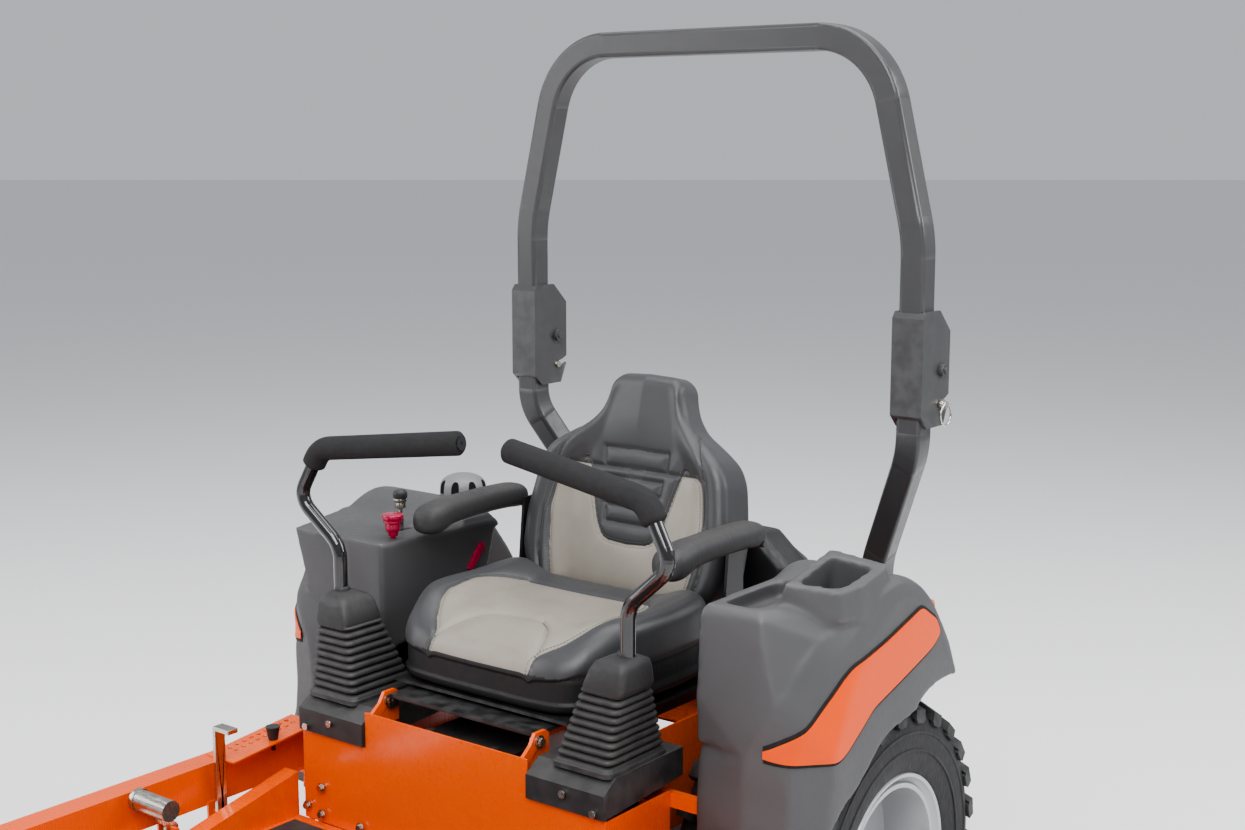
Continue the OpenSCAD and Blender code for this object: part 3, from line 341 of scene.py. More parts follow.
def buildFineGrain():  # moulded or sprayed grain, as a height
    group, given, out = shaderGroup("fineGrain",
        [("Vector", "NodeSocketVector", None), ("Scale", "NodeSocketFloat", 600.0),
                                                 ("Pebble", "NodeSocketFloat", 0.5)],
                                                     [("Height", "NodeSocketFloat")])
    noise = addNode(group, "ShaderNodeTexNoise", Vector=given["Vector"], Scale=given["Scale"], Detail=2.0)
    cells = addNode(group, "ShaderNodeTexVoronoi", {"feature": "SMOOTH_F1"}, Vector=given["Vector"],
        Scale=given["Scale"])
    pebble = maths(group, "MULTIPLY", cells.outputs[0], given["Pebble"])
    group.links.new(maths(group, "ADD", noise.outputs[0], pebble), out["Height"])
    return group


def buildEdgeWearAndHighlight():  # edge colour from the surface's own curvature: partly rubbed wear, partly painted highlight on convex edges
    group, given, out = shaderGroup("edgeWearAndHighlight",
        [("Vector", "NodeSocketVector", None), ("Start", "NodeSocketFloat", 0.52),
                                               ("End", "NodeSocketFloat", 0.62)],
                                                   [("Mask", "NodeSocketFloat")])
    geometry = group.nodes.new("ShaderNodeNewGeometry")
    edge = addNode(group, "ShaderNodeMapRange", i0=geometry.outputs["Pointiness"], i1=given["Start"],
        i2=given["End"])
    breakUp = addNode(group, "ShaderNodeTexNoise", Vector=given["Vector"], Scale=40.0, Detail=6.0)
    broken = addNode(group, "ShaderNodeMapRange", i0=breakUp.outputs[0], i1=0.35, i2=0.6)
    group.links.new(maths(group, "MULTIPLY", edge.outputs[0], broken.outputs[0]), out["Mask"])
    return group


def buildSettledDust():  # dust where a surface faces up
    group, given, out = shaderGroup("settledDust", [("Vector", "NodeSocketVector", None)],
        [("Mask", "NodeSocketFloat")])
    geometry = group.nodes.new("ShaderNodeNewGeometry")
    up = addNode(group, "ShaderNodeSeparateXYZ", i0=geometry.outputs["Normal"]).outputs[2]
    facing = addNode(group, "ShaderNodeMapRange", i0=up, i1=0.5, i2=1.0)
    noise = addNode(group, "ShaderNodeTexNoise", Vector=given["Vector"], Scale=9.0, Detail=8.0, Roughness=0.7)
    patch = addNode(group, "ShaderNodeMapRange", i0=noise.outputs[0], i1=0.35, i2=0.75)
    group.links.new(maths(group, "MULTIPLY", facing.outputs[0], patch.outputs[0]), out["Mask"])
    return group


def buildScratches():  # fine handling marks, 0 to 1
    group, given, out = shaderGroup("scratches",
        [("Vector", "NodeSocketVector", None), ("Stretch", "NodeSocketVector", (300, 20, 20))],
                                    [("Marks", "NodeSocketFloat")])
    noise = addNode(group, "ShaderNodeTexNoise", Vector=scaled(group, given["Vector"], given["Stretch"]),
        Scale=1.0, Detail=4.0)
    ramp = addNode(group, "ShaderNodeMapRange", i0=noise.outputs[0], i1=0.35, i2=0.75)
    group.links.new(ramp.outputs[0], out["Marks"])
    return group


shaderGroups = {"tone": buildSurfaceTone(), "grain": buildFineGrain(), "wearAndHighlight": buildEdgeWearAndHighlight(),
                "dust": buildSettledDust(), "marks": buildScratches()}


def useGroup(tree, name, **values):
    node = tree.nodes.new("ShaderNodeGroup")
    node.node_tree = shaderGroups[name]
    for key, value in values.items():
        if isinstance(value, bpy.types.NodeSocket):
            tree.links.new(value, node.inputs[key])
        else:
            node.inputs[key].default_value = value
    return node.outputs[0]


def mixColour(tree, mask, a, b):
    node = addNode(tree, "ShaderNodeMix", {"data_type": "RGBA"}, i0=mask)
    for socket, value in ((node.inputs[6], a), (node.inputs[7], b)):
        if isinstance(value, bpy.types.NodeSocket):
            tree.links.new(value, socket)
        else:
            socket.default_value = (*value, 1)
    return node.outputs[2]


def finish(name, colour, shade=0.8, rough=0.5, roughSpread=0.1, metal=0.0, coat=0.0, coatRough=0.1,
        specular=0.5,
           grain=600, pebble=0.5, bump=0.1, bumpDepth=0.0004, wearAndHighlight=0.0, wearAndHighlightColour=(0.3, 0.3, 0.3), dust=0.0,
           dustColour=(0.25, 0.23, 0.2), marks=(60, 300, 60), toneScale=6.0, sheen=0.0, extra=None):
    material = bpy.data.materials.new(name)
    material.use_nodes = True
    tree = material.node_tree
    shader = tree.nodes["Principled BSDF"]
    place = tree.nodes.new("ShaderNodeTexCoord").outputs["Object"]
    tone = useGroup(tree, "tone", Vector=place, Scale=toneScale)
    base = mixColour(tree, tone, tuple(c * shade for c in colour), colour)
    height = useGroup(tree, "grain", Vector=place, Scale=float(grain), Pebble=float(pebble))
    if extra:
        base, height = extra(tree, place, base, height)
    # convex edges mixed towards the edge colour: partly wear, partly painted highlight
    if wearAndHighlight:
        mask = maths(tree, "MULTIPLY", useGroup(tree, "wearAndHighlight", Vector=place), wearAndHighlight)
        base = mixColour(tree, mask, base, wearAndHighlightColour)
    if dust:
        mask = maths(tree, "MULTIPLY", useGroup(tree, "dust", Vector=place), dust)
        base = mixColour(tree, mask, base, dustColour)
    tree.links.new(base, shader.inputs["Base Color"])
    scuff = useGroup(tree, "marks", Vector=place, Stretch=marks)
    spread = addNode(tree, "ShaderNodeMapRange", i0=scuff, i3=rough - roughSpread, i4=rough + roughSpread)
    tree.links.new(spread.outputs[0], shader.inputs["Roughness"])
    shader.inputs["Metallic"].default_value = metal
    shader.inputs["Coat Weight"].default_value = coat
    shader.inputs["Coat Roughness"].default_value = coatRough
    shader.inputs["Specular IOR Level"].default_value = specular
    shader.inputs["Sheen Weight"].default_value = sheen
    bumped = addNode(tree, "ShaderNodeBump", Strength=bump, Distance=bumpDepth, Height=height)
    tree.links.new(bumped.outputs[0], shader.inputs["Normal"])
    return material


def readAttribute(tree, name):
    return addNode(tree, "ShaderNodeAttribute", {"attribute_name": name}).outputs["Fac"]


def vinylPanels(tree, place, base, height):  # taupe centre, and grooves where the seams and channels run, darkened with painted shade
    panel = readAttribute(tree, "panel")
    taupe = mixColour(tree, useGroup(tree, "tone", Vector=place, Scale=11.0), (0.235, 0.213, 0.18),
        (0.285, 0.26, 0.222))
    base = mixColour(tree, maths(tree, "GREATER_THAN", panel, 0.0), base, taupe)
    return seamGroovesAndShade(tree, base, height)


def seamGroovesAndShade(tree, base, height):
    groove = readAttribute(tree, "groove")
    dip = addNode(tree, "ShaderNodeMapRange", {"interpolation_type": "SMOOTHSTEP"}, i0=groove, i1=0.0,
        i2=0.0022)
    crease = maths(tree, "MULTIPLY", dip.outputs[0], 6.0)
    # painted shade: near-black mixed into the colour along the groove lines
    dark = addNode(tree, "ShaderNodeMapRange", i0=groove, i1=0.0004, i2=0.0014, i3=0.3, i4=1.0)
    shadow = maths(tree, "SUBTRACT", 1.0, dark.outputs[0])
    return mixColour(tree, shadow, base, (0.012, 0.012, 0.012)), maths(tree, "ADD", height, crease)


def brushed(tree, place, base, height):
    lines = addNode(tree, "ShaderNodeTexNoise", Vector=scaled(tree, place, (900, 40, 900)), Scale=1.0,
        Detail=2.0)
    return base, maths(tree, "ADD", height, lines.outputs[0])


def foamPoresAndShade(tree, place, base, height):
    pores = addNode(tree, "ShaderNodeTexVoronoi", Vector=place, Scale=900.0)
    # painted shade: the pits of the pores are mixed towards near-black
    speck = addNode(tree, "ShaderNodeMapRange", i0=pores.outputs[0], i1=0.1, i2=0.5, i3=0.75, i4=1.0)
    dark = maths(tree, "SUBTRACT", 1.0, speck.outputs[0])
    return mixColour(tree, dark, base, (0.006, 0.006, 0.006)), maths(tree, "ADD", height, pores.outputs[0])


orangeBase = (0.8, 0.1, 0.005)
paint = {
    "orange": finish("orangePowder", orangeBase, 0.96, rough=0.3, roughSpread=0.05, coat=0.45, coatRough=0.12,
        grain=420,
                     pebble=0.2, bump=0.2, bumpDepth=0.0002, wearAndHighlight=0.15, wearAndHighlightColour=(0.9, 0.25, 0.06), dust=0.05,
                     dustColour=(0.6, 0.3, 0.16), toneScale=3.0),
    "deckOrange": finish("deckPowder", orangeBase, 0.85, rough=0.4, coat=0.3, coatRough=0.2, grain=420,
        pebble=0.2, bump=0.3,
                         bumpDepth=0.0003, wearAndHighlight=0.6, wearAndHighlightColour=(0.5, 0.2, 0.1), dust=0.3,
                             dustColour=(0.4, 0.25, 0.14)),
    "roll": finish("rollBarGrey", (0.056, 0.056, 0.058), 0.85, rough=0.36, roughSpread=0.06, coat=0.15,
        coatRough=0.25,
                   grain=700, bump=0.22, bumpDepth=0.0002, wearAndHighlight=0.35, wearAndHighlightColour=(0.25, 0.25, 0.26), dust=0.1),
    "black": finish("blackSteel", (0.016, 0.016, 0.017), 0.8, rough=0.34, roughSpread=0.02, coat=0.2,
        coatRough=0.15, marks=(9, 9, 9),
                    bump=0.12, bumpDepth=0.0002, wearAndHighlight=0.3, wearAndHighlightColour=(0.16, 0.16, 0.16)),
    "lever": finish("leverGloss", (0.012, 0.012, 0.013), 0.9, rough=0.16, roughSpread=0.05, coat=0.9,
        coatRough=0.04,
                    bump=0.05, bumpDepth=0.0001),
    "moulded": finish("mouldedGrey", (0.078, 0.078, 0.081), 0.9, rough=0.52, roughSpread=0.05, grain=1100,
        pebble=0.8, bump=0.35,
                      bumpDepth=0.0003, wearAndHighlight=0.5, wearAndHighlightColour=(0.24, 0.24, 0.24), dust=0.16,
                          dustColour=(0.22, 0.21, 0.2)),
    "box": finish("mouldedCharcoal", (0.024, 0.0245, 0.026), 0.85, rough=0.5, grain=1000, pebble=0.8,
        bump=0.35,
                  bumpDepth=0.0003, wearAndHighlight=0.4, wearAndHighlightColour=(0.12, 0.12, 0.12), dust=0.25),
    "boot": finish("bootRubber", (0.03, 0.03, 0.031), 0.8, rough=0.58, grain=900, bump=0.3, bumpDepth=0.0003,
                   wearAndHighlight=0.5, wearAndHighlightColour=(0.13, 0.13, 0.13), dust=0.3, dustColour=(0.16, 0.155, 0.15)),
    "foam": finish("gripFoam", (0.03, 0.03, 0.031), 0.85, rough=0.82, specular=0.25, grain=1600, pebble=1.0,
        bump=0.5,
                   bumpDepth=0.0004, extra=foamPoresAndShade),
    "armPad": finish("armPadSkin", (0.04, 0.04, 0.041), 0.9, rough=0.6, grain=1300, pebble=0.9, bump=0.3,
                     bumpDepth=0.0003, dust=0.15),
    "vinyl": finish("seatVinyl", (0.052, 0.053, 0.056), 0.88, rough=0.4, roughSpread=0.05, specular=0.55,
        grain=850,
                    pebble=1.1, bump=0.4, bumpDepth=0.0004, extra=vinylPanels, sheen=0.05),
    "skirt": finish("seatSkirt", (0.014, 0.014, 0.015), 0.85, rough=0.6, grain=500, bump=0.4,
        bumpDepth=0.0005, dust=0.1),
    "thread": finish("seatThread", (0.17, 0.165, 0.155), rough=0.8, grain=2500, bump=0.5, bumpDepth=0.0002),
    "tyre": finish("tyreRubber", (0.021, 0.021, 0.022), 0.75, rough=0.68, grain=700, bump=0.4,
        bumpDepth=0.0004, wearAndHighlight=0.5,
                   wearAndHighlightColour=(0.085, 0.085, 0.085), dust=0.5, dustColour=(0.09, 0.083, 0.07), toneScale=14),
    "rim": finish("rimSilver", (0.42, 0.43, 0.44), 0.97, rough=0.36, roughSpread=0.025, marks=(14, 14, 14),
        metal=0.5, coat=0.3, coatRough=0.2, grain=700, bump=0.12,
                  bumpDepth=0.0002),
    "zinc": finish("zincPlate", (0.62, 0.6, 0.54), 0.75, rough=0.27, roughSpread=0.1, metal=1.0, grain=300,
        bump=0.1,
                   bumpDepth=0.0002, toneScale=30, extra=brushed),
    "cast": finish("castAlloy", (0.33, 0.33, 0.34), 0.8, rough=0.5, metal=0.8, grain=500, pebble=1.2,
        bump=0.6,
                   bumpDepth=0.0008, toneScale=14),
    "engineBlack": finish("engineShroud", (0.02, 0.02, 0.021), 0.8, rough=0.42, grain=900, bump=0.3,
        bumpDepth=0.0003, dust=0.3),
    "red": finish("redPlastic", (0.42, 0.008, 0.055), 0.85, rough=0.3, coat=0.3, grain=900, bump=0.1,
        bumpDepth=0.0002),
    "orangePlastic": finish("orangeInlay", (0.8, 0.085, 0.003), 0.97, rough=0.42, roughSpread=0.03, coat=0.12,
        coatRough=0.2, specular=0.3, grain=400,
                            bump=0.05, bumpDepth=0.0001),
    "mat": finish("matRubber", (0.02, 0.02, 0.021), 0.8, rough=0.75, grain=500, bump=0.5, bumpDepth=0.0006,
        dust=0.6,
                  dustColour=(0.1, 0.095, 0.085)),
    "cap": finish("capGrey", (0.2, 0.2, 0.205), 0.92, rough=0.45, grain=1100, bump=0.25, bumpDepth=0.0002,
        wearAndHighlight=0.3,
                  wearAndHighlightColour=(0.36, 0.36, 0.36)),
    # near-black material laid where recesses are: painted shade
    "dark": finish("paintedRecessShade", (0.008, 0.008, 0.008), rough=0.8, bump=0.1),
    "exhaust": finish("exhaustSteel", (0.3, 0.27, 0.24), 0.6, rough=0.42, roughSpread=0.12, metal=1.0,
        toneScale=18,
                      bump=0.15, extra=brushed),
    "belt": finish("beltRubber", (0.02, 0.02, 0.02), rough=0.7, grain=900, bump=0.4, bumpDepth=0.0003),
}
print("materials ready")


keptNodes = {
    "main_frame": ("orange", 0.002), "front_panel": ("orange", 0.0012), "floor_pan": ("orange", 0.0008),
    "floor_mat": ("mat", 0.0012), "fuel_tank": ("engineBlack", 0.004), "battery": ("box", 0.003),
    "engine_block": ("cast", 0.0012), "blower_housing": ("engineBlack", 0.004), "muffler": ("exhaust", 0.003),
    "transaxles": ("cast", 0.004), "rops_uprights": ("roll", 0.0012), "rear_guard": ("orange", 0.0015),
    "fasteners": ("zinc", 0.0008), "rear_rim_left": ("rim", 0.0015), "rear_rim_right": ("rim", 0.0015),
    "caster_fork_left": ("orange", 0.0015), "caster_fork_right": ("orange", 0.0015),
        "rops_hoop": ("roll", 0.0012),
    "lock_pin_left": ("zinc", 0.0006), "lock_pin_right": ("zinc", 0.0006), "seat_plate": ("black", 0.001),
    "seat_base": ("black", 0.001), "lever_pivot_left": ("zinc", 0.001), "lever_pivot_right": ("zinc", 0.001),
    "lap_bar_left": ("lever", 0.0008), "lap_bar_right": ("lever", 0.0008), "lift_pedal": ("zinc", 0.0015),
    "foot_lever": ("zinc", 0.0012), "height_pin": ("box", 0.0015), "choke_knob": ("box", 0.002),
    "ignition_key": ("box", 0.001), "latch_lever": ("red", 0.002), "deck_shell": ("deckOrange", 0.002),
    "discharge_chute": ("box", 0.002), "blade_left": ("exhaust", 0.0008), "blade_center": ("exhaust", 0.0008),
    "blade_right": ("exhaust", 0.0008), "belts": ("belt", 0.001), "pto_clutch": ("zinc", 0.0012),
    "deck_wheels": ("box", 0.004), "lever_boxes": ("box", 0.005),
}


def dressNode(node, finishName, width):
    obj = nodes[node]
    if not obj.material_slots:
        obj.data.materials.append(None)
    for materialSlot in obj.material_slots:
        materialSlot.material = paint[finishName]
    weld = obj.modifiers.new("weld", "WELD")
    weld.merge_threshold = 0.00002
    bevel = obj.modifiers.new("edges", "BEVEL")
    bevel.limit_method, bevel.angle_limit = "ANGLE", math.radians(32)
    bevel.width, bevel.segments, bevel.use_clamp_overlap = width, 2, True
    bevel.harden_normals = True


for nodeName, (finishName, bevelWidth) in keptNodes.items():
    dressNode(nodeName, finishName, bevelWidth)
print("kept CAD pieces dressed", len(keptNodes))


# Geometry Nodes trees for whatever repeats

def geometryTree(name, *inputs):
    tree = bpy.data.node_groups.new(name, "GeometryNodeTree")
    tree.interface.new_socket("Geometry", in_out="INPUT", socket_type="NodeSocketGeometry")
    for label, kind in inputs:
        tree.interface.new_socket(label, in_out="INPUT", socket_type=kind)
    tree.interface.new_socket("Geometry", in_out="OUTPUT", socket_type="NodeSocketGeometry")
    return tree, tree.nodes.new("NodeGroupInput").outputs, tree.nodes.new("NodeGroupOutput").inputs


def endTree(tree, given, out, instances):
    real = addNode(tree, "GeometryNodeRealizeInstances", i0=instances)
    skin = addNode(tree, "GeometryNodeSetMaterial", Geometry=real.outputs[0], Material=given["Material"])
    tree.links.new(skin.outputs[0], out[0])
    return tree


def buildRingCopies():  # copies of a piece about an axle along X
    tree, given, out = geometryTree("ringCopies", ("Count", "NodeSocketInt"), ("Centre", "NodeSocketVector"),
                                    ("Material", "NodeSocketMaterial"))
    away = addNode(tree, "ShaderNodeVectorMath", {"operation": "SCALE"}, i0=given["Centre"],
        Scale=-1.0).outputs[0]
    local = addNode(tree, "GeometryNodeTransform", Geometry=given["Geometry"], Translation=away)
    line = addNode(tree, "GeometryNodeMeshLine", Count=given["Count"], Start_Location=given["Centre"],
        Offset=(0, 0, 0))
    step = maths(tree, "DIVIDE", 2 * math.pi, given["Count"])
    turn = maths(tree, "MULTIPLY", tree.nodes.new("GeometryNodeInputIndex").outputs[0], step)
    spin = addNode(tree, "ShaderNodeCombineXYZ", X=turn)
    copies = addNode(tree, "GeometryNodeInstanceOnPoints", Points=line.outputs[0], Instance=local.outputs[0],
                     Rotation=spin.outputs[0])
    return endTree(tree, given, out, copies.outputs[0])


def buildScrewHeads():  # a hex head on a washer at each point, facing along its "aim"
    tree, given, out = geometryTree("screwHeads", ("Radius", "NodeSocketFloat"),
        ("Material", "NodeSocketMaterial"))
    size = given["Radius"]
    head = addNode(tree, "GeometryNodeMeshCylinder", Vertices=6, Radius=size,
        Depth=maths(tree, "MULTIPLY", size, 0.75))
    lifted = addNode(tree, "ShaderNodeCombineXYZ", Z=maths(tree, "MULTIPLY", size, 0.62))
    raised = addNode(tree, "GeometryNodeTransform", Geometry=head.outputs[0], Translation=lifted.outputs[0])
    washer = addNode(tree, "GeometryNodeMeshCylinder", Vertices=28,
        Radius=maths(tree, "MULTIPLY", size, 1.45),
                     Depth=maths(tree, "MULTIPLY", size, 0.3))
    both = tree.nodes.new("GeometryNodeJoinGeometry")
    tree.links.new(raised.outputs[0], both.inputs[0])
    tree.links.new(washer.outputs[0], both.inputs[0])
    aim = addNode(tree, "GeometryNodeInputNamedAttribute", {"data_type": "FLOAT_VECTOR"},
        Name="aim").outputs[0]
    turn = addNode(tree, "FunctionNodeAlignRotationToVector", {"axis": "Z"}, Vector=aim)
    copies = addNode(tree, "GeometryNodeInstanceOnPoints", Points=given["Geometry"], Instance=both.outputs[0],
                     Rotation=turn.outputs[0])
    return endTree(tree, given, out, copies.outputs[0])


def buildStitchRow():  # threads along a line
    tree, given, out = geometryTree("stitchRow", ("Spacing", "NodeSocketFloat"),
        ("Material", "NodeSocketMaterial"))
    curve = addNode(tree, "GeometryNodeMeshToCurve", Mesh=given["Geometry"])
    even = addNode(tree, "GeometryNodeCurveToPoints", {"mode": "LENGTH"}, Curve=curve.outputs[0],
        Length=given["Spacing"])
    bead = addNode(tree, "GeometryNodeMeshIcoSphere", Radius=0.0006, Subdivisions=2)
    thread = addNode(tree, "GeometryNodeTransform", Geometry=bead.outputs[0], Scale=(1, 1, 3.6))
    turn = addNode(tree, "FunctionNodeAlignRotationToVector", {"axis": "Z"}, Vector=even.outputs["Tangent"])
    copies = addNode(tree, "GeometryNodeInstanceOnPoints", Points=even.outputs[0], Instance=thread.outputs[0],
                     Rotation=turn.outputs[0])
    return endTree(tree, given, out, copies.outputs[0])


trees = {"ring": buildRingCopies(), "screws": buildScrewHeads(), "stitches": buildStitchRow()}


def grow(obj, treeName, angle=35, **values):
    modifier = obj.modifiers.new(treeName, "NODES")
    modifier.node_group = trees[treeName]
    for item in trees[treeName].interface.items_tree:
        if item.in_out == "INPUT" and item.name in values:
            modifier[item.identifier] = values[item.name]
    bake(obj)
    softShade(obj, angle)
    return obj


def screws(name, places, radius, body, finishName="zinc",
        slot="zinc"):  # places are (point, direction it faces)
    obj = newObject(name, [p for p, _ in places], [])
    attribute = obj.data.attributes.new("aim", "FLOAT_VECTOR", "POINT")
    attribute.data.foreach_set("vector", [c for _, aim in places for c in aim])
    grow(obj, "screws", 25, Radius=radius, Material=paint[finishName])
    return settle(obj, body, slot)


def stitches(name, line, spacing, body):
    obj = newObject(name, line, [])
    obj.data.clear_geometry()
    obj.data.from_pydata([tuple(p) for p in line], [(i, i + 1) for i in range(len(line) - 1)], [])
    grow(obj, "stitches", 60, Spacing=spacing, Material=paint["thread"])
    return settle(obj, body, "vinyl")


def ringOf(name, shape, count, centre, finishName, angle=30):
    obj = cleanUp(newObject(name, *shape))
    return grow(obj, "ring", angle, Count=count, Centre=tuple(centre), Material=paint[finishName])


# Rear tyres: carcass, shoulder lugs, centre blocks, rim lip and sidewall rings
rearTyre = {
    "carcass": [(0.166, 0.33), (0.174, 0.318), (0.2, 0.311), (0.235, 0.308), (0.262, 0.312), (0.279, 0.326),
        (0.286, 0.35),
                (0.2885, 0.39), (0.2895, 0.4525), (0.2885, 0.515), (0.286, 0.555), (0.279, 0.579),
                    (0.262, 0.593),
                (0.235, 0.597), (0.2, 0.594), (0.174, 0.587), (0.166, 0.575), (0.16, 0.5), (0.16, 0.4)],
    "lugs": 26, "blocks": 26, "lip": 0.166,
}


def wheelPlace(side, centreY, centreZ, offset=0.0):
    return lambda a, b, s: mid(side * (s + offset), centreY + a, centreZ + b)


def wedge(place, corners, inner, outer,
        taper=0.0025):  # raised block on a tyre, corners are (along the axle, angle)
    cx = sum(c[0] for c in corners) / len(corners)
    ca = sum(c[1] for c in corners) / len(corners)
    ring = []
    for s, a in corners:
        ring.append(place(inner(s) * math.cos(a), inner(s) * math.sin(a), s))
    for s, a in corners:
        s2 = s + (cx - s) * taper / max(abs(cx - s), 0.004)
        a2 = a + (ca - a) * 0.12
        ring.append(place(outer(s2) * math.cos(a2), outer(s2) * math.sin(a2), s2))
    return hull(ring)


def treadRadius(s, depth):  # height of the tread across the tyre
    t = abs(s - 0.4525) / 0.1475
    return 0.3045 - 0.0035 * t * t - 0.02 * max(0, t - 0.86) / 0.14 - depth


def buildRearTyre(side, sign, setup):
    place = wheelPlace(sign, axleY, axleZ)
    centre = mid(sign * 0.4525, axleY, axleZ)
    body = f"rear_wheel_{side}"
    profile = curveThrough(setup["carcass"][:17], 3)
    carcass = cleanUp(newObject(f"tyre_{side}", *lathe(profile + setup["carcass"][17:], 144, place),
        paint["tyre"]), 50)
    settle(carcass, body, "tyre", f"rear_tire_{side}")
    pitch = 2 * math.pi / setup["lugs"]
    deep, high = lambda s: treadRadius(s, 0.02), lambda s: treadRadius(s, 0)
    shapes = []
    for edge, flip, shift in ((0.3065, 1, 0.0), (0.5985, -1, 0.5)):
        a = pitch * shift
        shapes.append(wedge(place, [(edge, a - 0.28 * pitch), (edge, a + 0.24 * pitch),
            (edge + flip * 0.052, a + 0.3 * pitch),
                                    (edge + flip * 0.052, a - 0.2 * pitch)], lambda s: treadRadius(s, 0.016),
                                        high))
        shapes.append(wedge(place, [(edge - flip * 0.0005, a - 0.2 * pitch),
            (edge - flip * 0.0005, a + 0.18 * pitch),
                                    (edge + flip * 0.008, a + 0.18 * pitch),
                                        (edge + flip * 0.008, a - 0.2 * pitch)],
                            lambda s: 0.262, lambda s: treadRadius(s, 0.003)))
    for s, shift, lean in ((0.388, 0.45, 0.1), (0.4325, 0.95, -0.1), (0.4725, 0.4, 0.1), (0.517, 0.02, -0.1)):
        a = pitch * shift
        shapes.append(wedge(place, [(s - 0.016, a - (0.3 + lean) * pitch),
            (s + 0.016, a - (0.3 - lean) * pitch),
                                    (s + 0.019, a + 0.05 * pitch), (s + 0.014, a + (0.3 + lean) * pitch),
                                    (s - 0.014, a + (0.3 - lean) * pitch), (s - 0.019, a)], deep, high))
    tread = ringOf(f"tread_{side}", merge(*shapes), setup["lugs"], centre, "tyre", 25)
    settle(tread, body, "tyre")
    lip = [(setup["lip"] + dr, s) for dr,
        s in ((-0.012, 0.566), (0.0, 0.569), (0.004, 0.578), (0.008, 0.585), (0.006, 0.5895),
                                                (0.0, 0.588), (-0.004, 0.58), (-0.014, 0.574))]
    rimLip = cleanUp(newObject(f"rimLip_{side}", *lathe(lip, 128, place), paint["rim"]), 40)
    settle(rimLip, body, "rim_paint")
    groove = []
    for r, s in ((0.215, 0.5965), (0.246, 0.5965)):
        groove.append(lathe([(r + 0.0025 * math.cos(a), s + 0.0018 * math.sin(a)) for a in
                             [2 * math.pi * k / 8 for k in range(8)]], 128, place))
    beads = cleanUp(newObject(f"sidewallRings_{side}", *merge(*groove), paint["tyre"]), 60)
    settle(beads, body, "tyre")


for sideName, sideSign in bothSides:
    buildRearTyre(sideName, sideSign, rearTyre)
print("rear tyres ready")

casterTyre = {"radius": 0.165, "half": 0.0825, "hub": 0.078, "ribs": 7}


def buildCasterTyre(side, sign, setup):
    low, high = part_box(f"caster_wheel_{side}")
    centre = (low + high) / 2
    half = (high.x - low.x) / 2 - 0.0005
    place = lambda a, b, s: Vector((centre.x + sign * s, centre.y + a, centre.z + b))
    r = setup["radius"]
    crown = []
    steps = 70
    for i in range(steps + 1):
        t = -1 + 2 * i / steps
        edge = max(0, abs(t) - 0.72) / 0.28
        rib = 0.0 if abs(t) > 0.86 else 0.5 - 0.5 * math.cos(2 * math.pi * (t / 0.86 + 1) * setup["ribs"] / 2)
        groove = 0.005 * (1 - smoothStep(0.1, 0.45, rib)) if abs(t) <= 0.86 else 0
        crown.append((r - 0.0006 - 0.03 * edge ** 2 - groove, t * half * 0.985))
    hub = setup["hub"]
    side1 = [(r - 0.045, half * 0.99), (r - 0.062, half * 0.93), (hub + 0.012, half * 0.8), (hub, half * 0.8)]
    side0 = [(x, -s) for x, s in reversed(side1)]
    tyre = cleanUp(newObject(f"casterTyre_{side}", *lathe(side0 + crown + side1, 120, place), paint["tyre"]),
        45)
    settle(tyre, f"caster_wheel_{side}", "tyre", f"caster_wheel_{side}")
    disc = [(0.0145, 0.076), (0.024, 0.076), (0.03, 0.062), (0.05, 0.052), (0.07, 0.058),
        (hub - 0.002, 0.066),
            (hub + 0.004, 0.069), (hub + 0.003, 0.06), (hub - 0.004, 0.05), (0.05, 0.042), (0.0145, 0.05)]
    discs = [lathe(disc, 72, place), lathe([(x, -s) for x, s in reversed(disc)], 72, place),
             lathe([(0.0145, -0.07), (0.0145, 0.07), (hub - 0.01, 0.05), (hub, 0.05), (hub, -0.05),
                 (hub - 0.01, -0.05)], 72, place)]
    wheel = cleanUp(newObject(f"casterRim_{side}", *merge(*discs), paint["rim"]), 35)
    settle(wheel, f"caster_wheel_{side}", "rim_paint")


for sideName, sideSign in bothSides:
    buildCasterTyre(sideName, sideSign, casterTyre)
print("caster tyres ready")

# Fenders, moulded in one piece with their consoles
fenderRows = [  # angle, arch, inner top, ridge x, ridge, shoulder x, shoulder, middle x, middle
    (62, .360, .364, .590, .364, .612, .362, .605, .364),
        (68.4, .349, .4067, .592, .4067, .614, .385, .608, .402),
    (76, .330, .450, .592, .450, .615, .425, .609, .444),
        (81.7, .3145, .487, .594, .487, .616, .46, .610, .480),
    (87.9, .294, .520, .596, .52, .617, .49, .611, .512),
        (97.2, .289, .545, .60, .545, .617, .505, .612, .535),
    (108.9, .287, .5285, .600, .528, .616, .47, .611, .51),
        (118, .278, .53, .582, .532, .615, .44, .603, .495),
    (126.5, .272, .500, .562, .510, .613, .400, .594, .468),
        (131.3, .275, .462, .553, .4995, .612, .385, .590, .455),
    (136, .285, .445, .525, .477, .611, .345, .580, .428),
        (139.6, .290, .440, .505, .4557, .611, .335, .575, .418),
    (147.8, .300, .4078, .50, .4078, .610, .318, .572, .378),
        (158, .307, .373, .50, .373, .608, .318, .570, .352),
    (169.7, .308, .3517, .50, .3515, .605, .316, .568, .338),
        (181, .312, .346, .50, .345, .600, .318, .565, .335)]
fenderSetup = {"inner": 0.4075, "outer": 0.613, "sections": 64, "clear": 0.327, "voxel": 0.0042,
    "smoothing": 4}


def fenderPoint(sign, x, r, angle):
    a = math.radians(angle)
    return mid(sign * x, 0.415 + r * math.cos(a), 0.305 + r * math.sin(a))


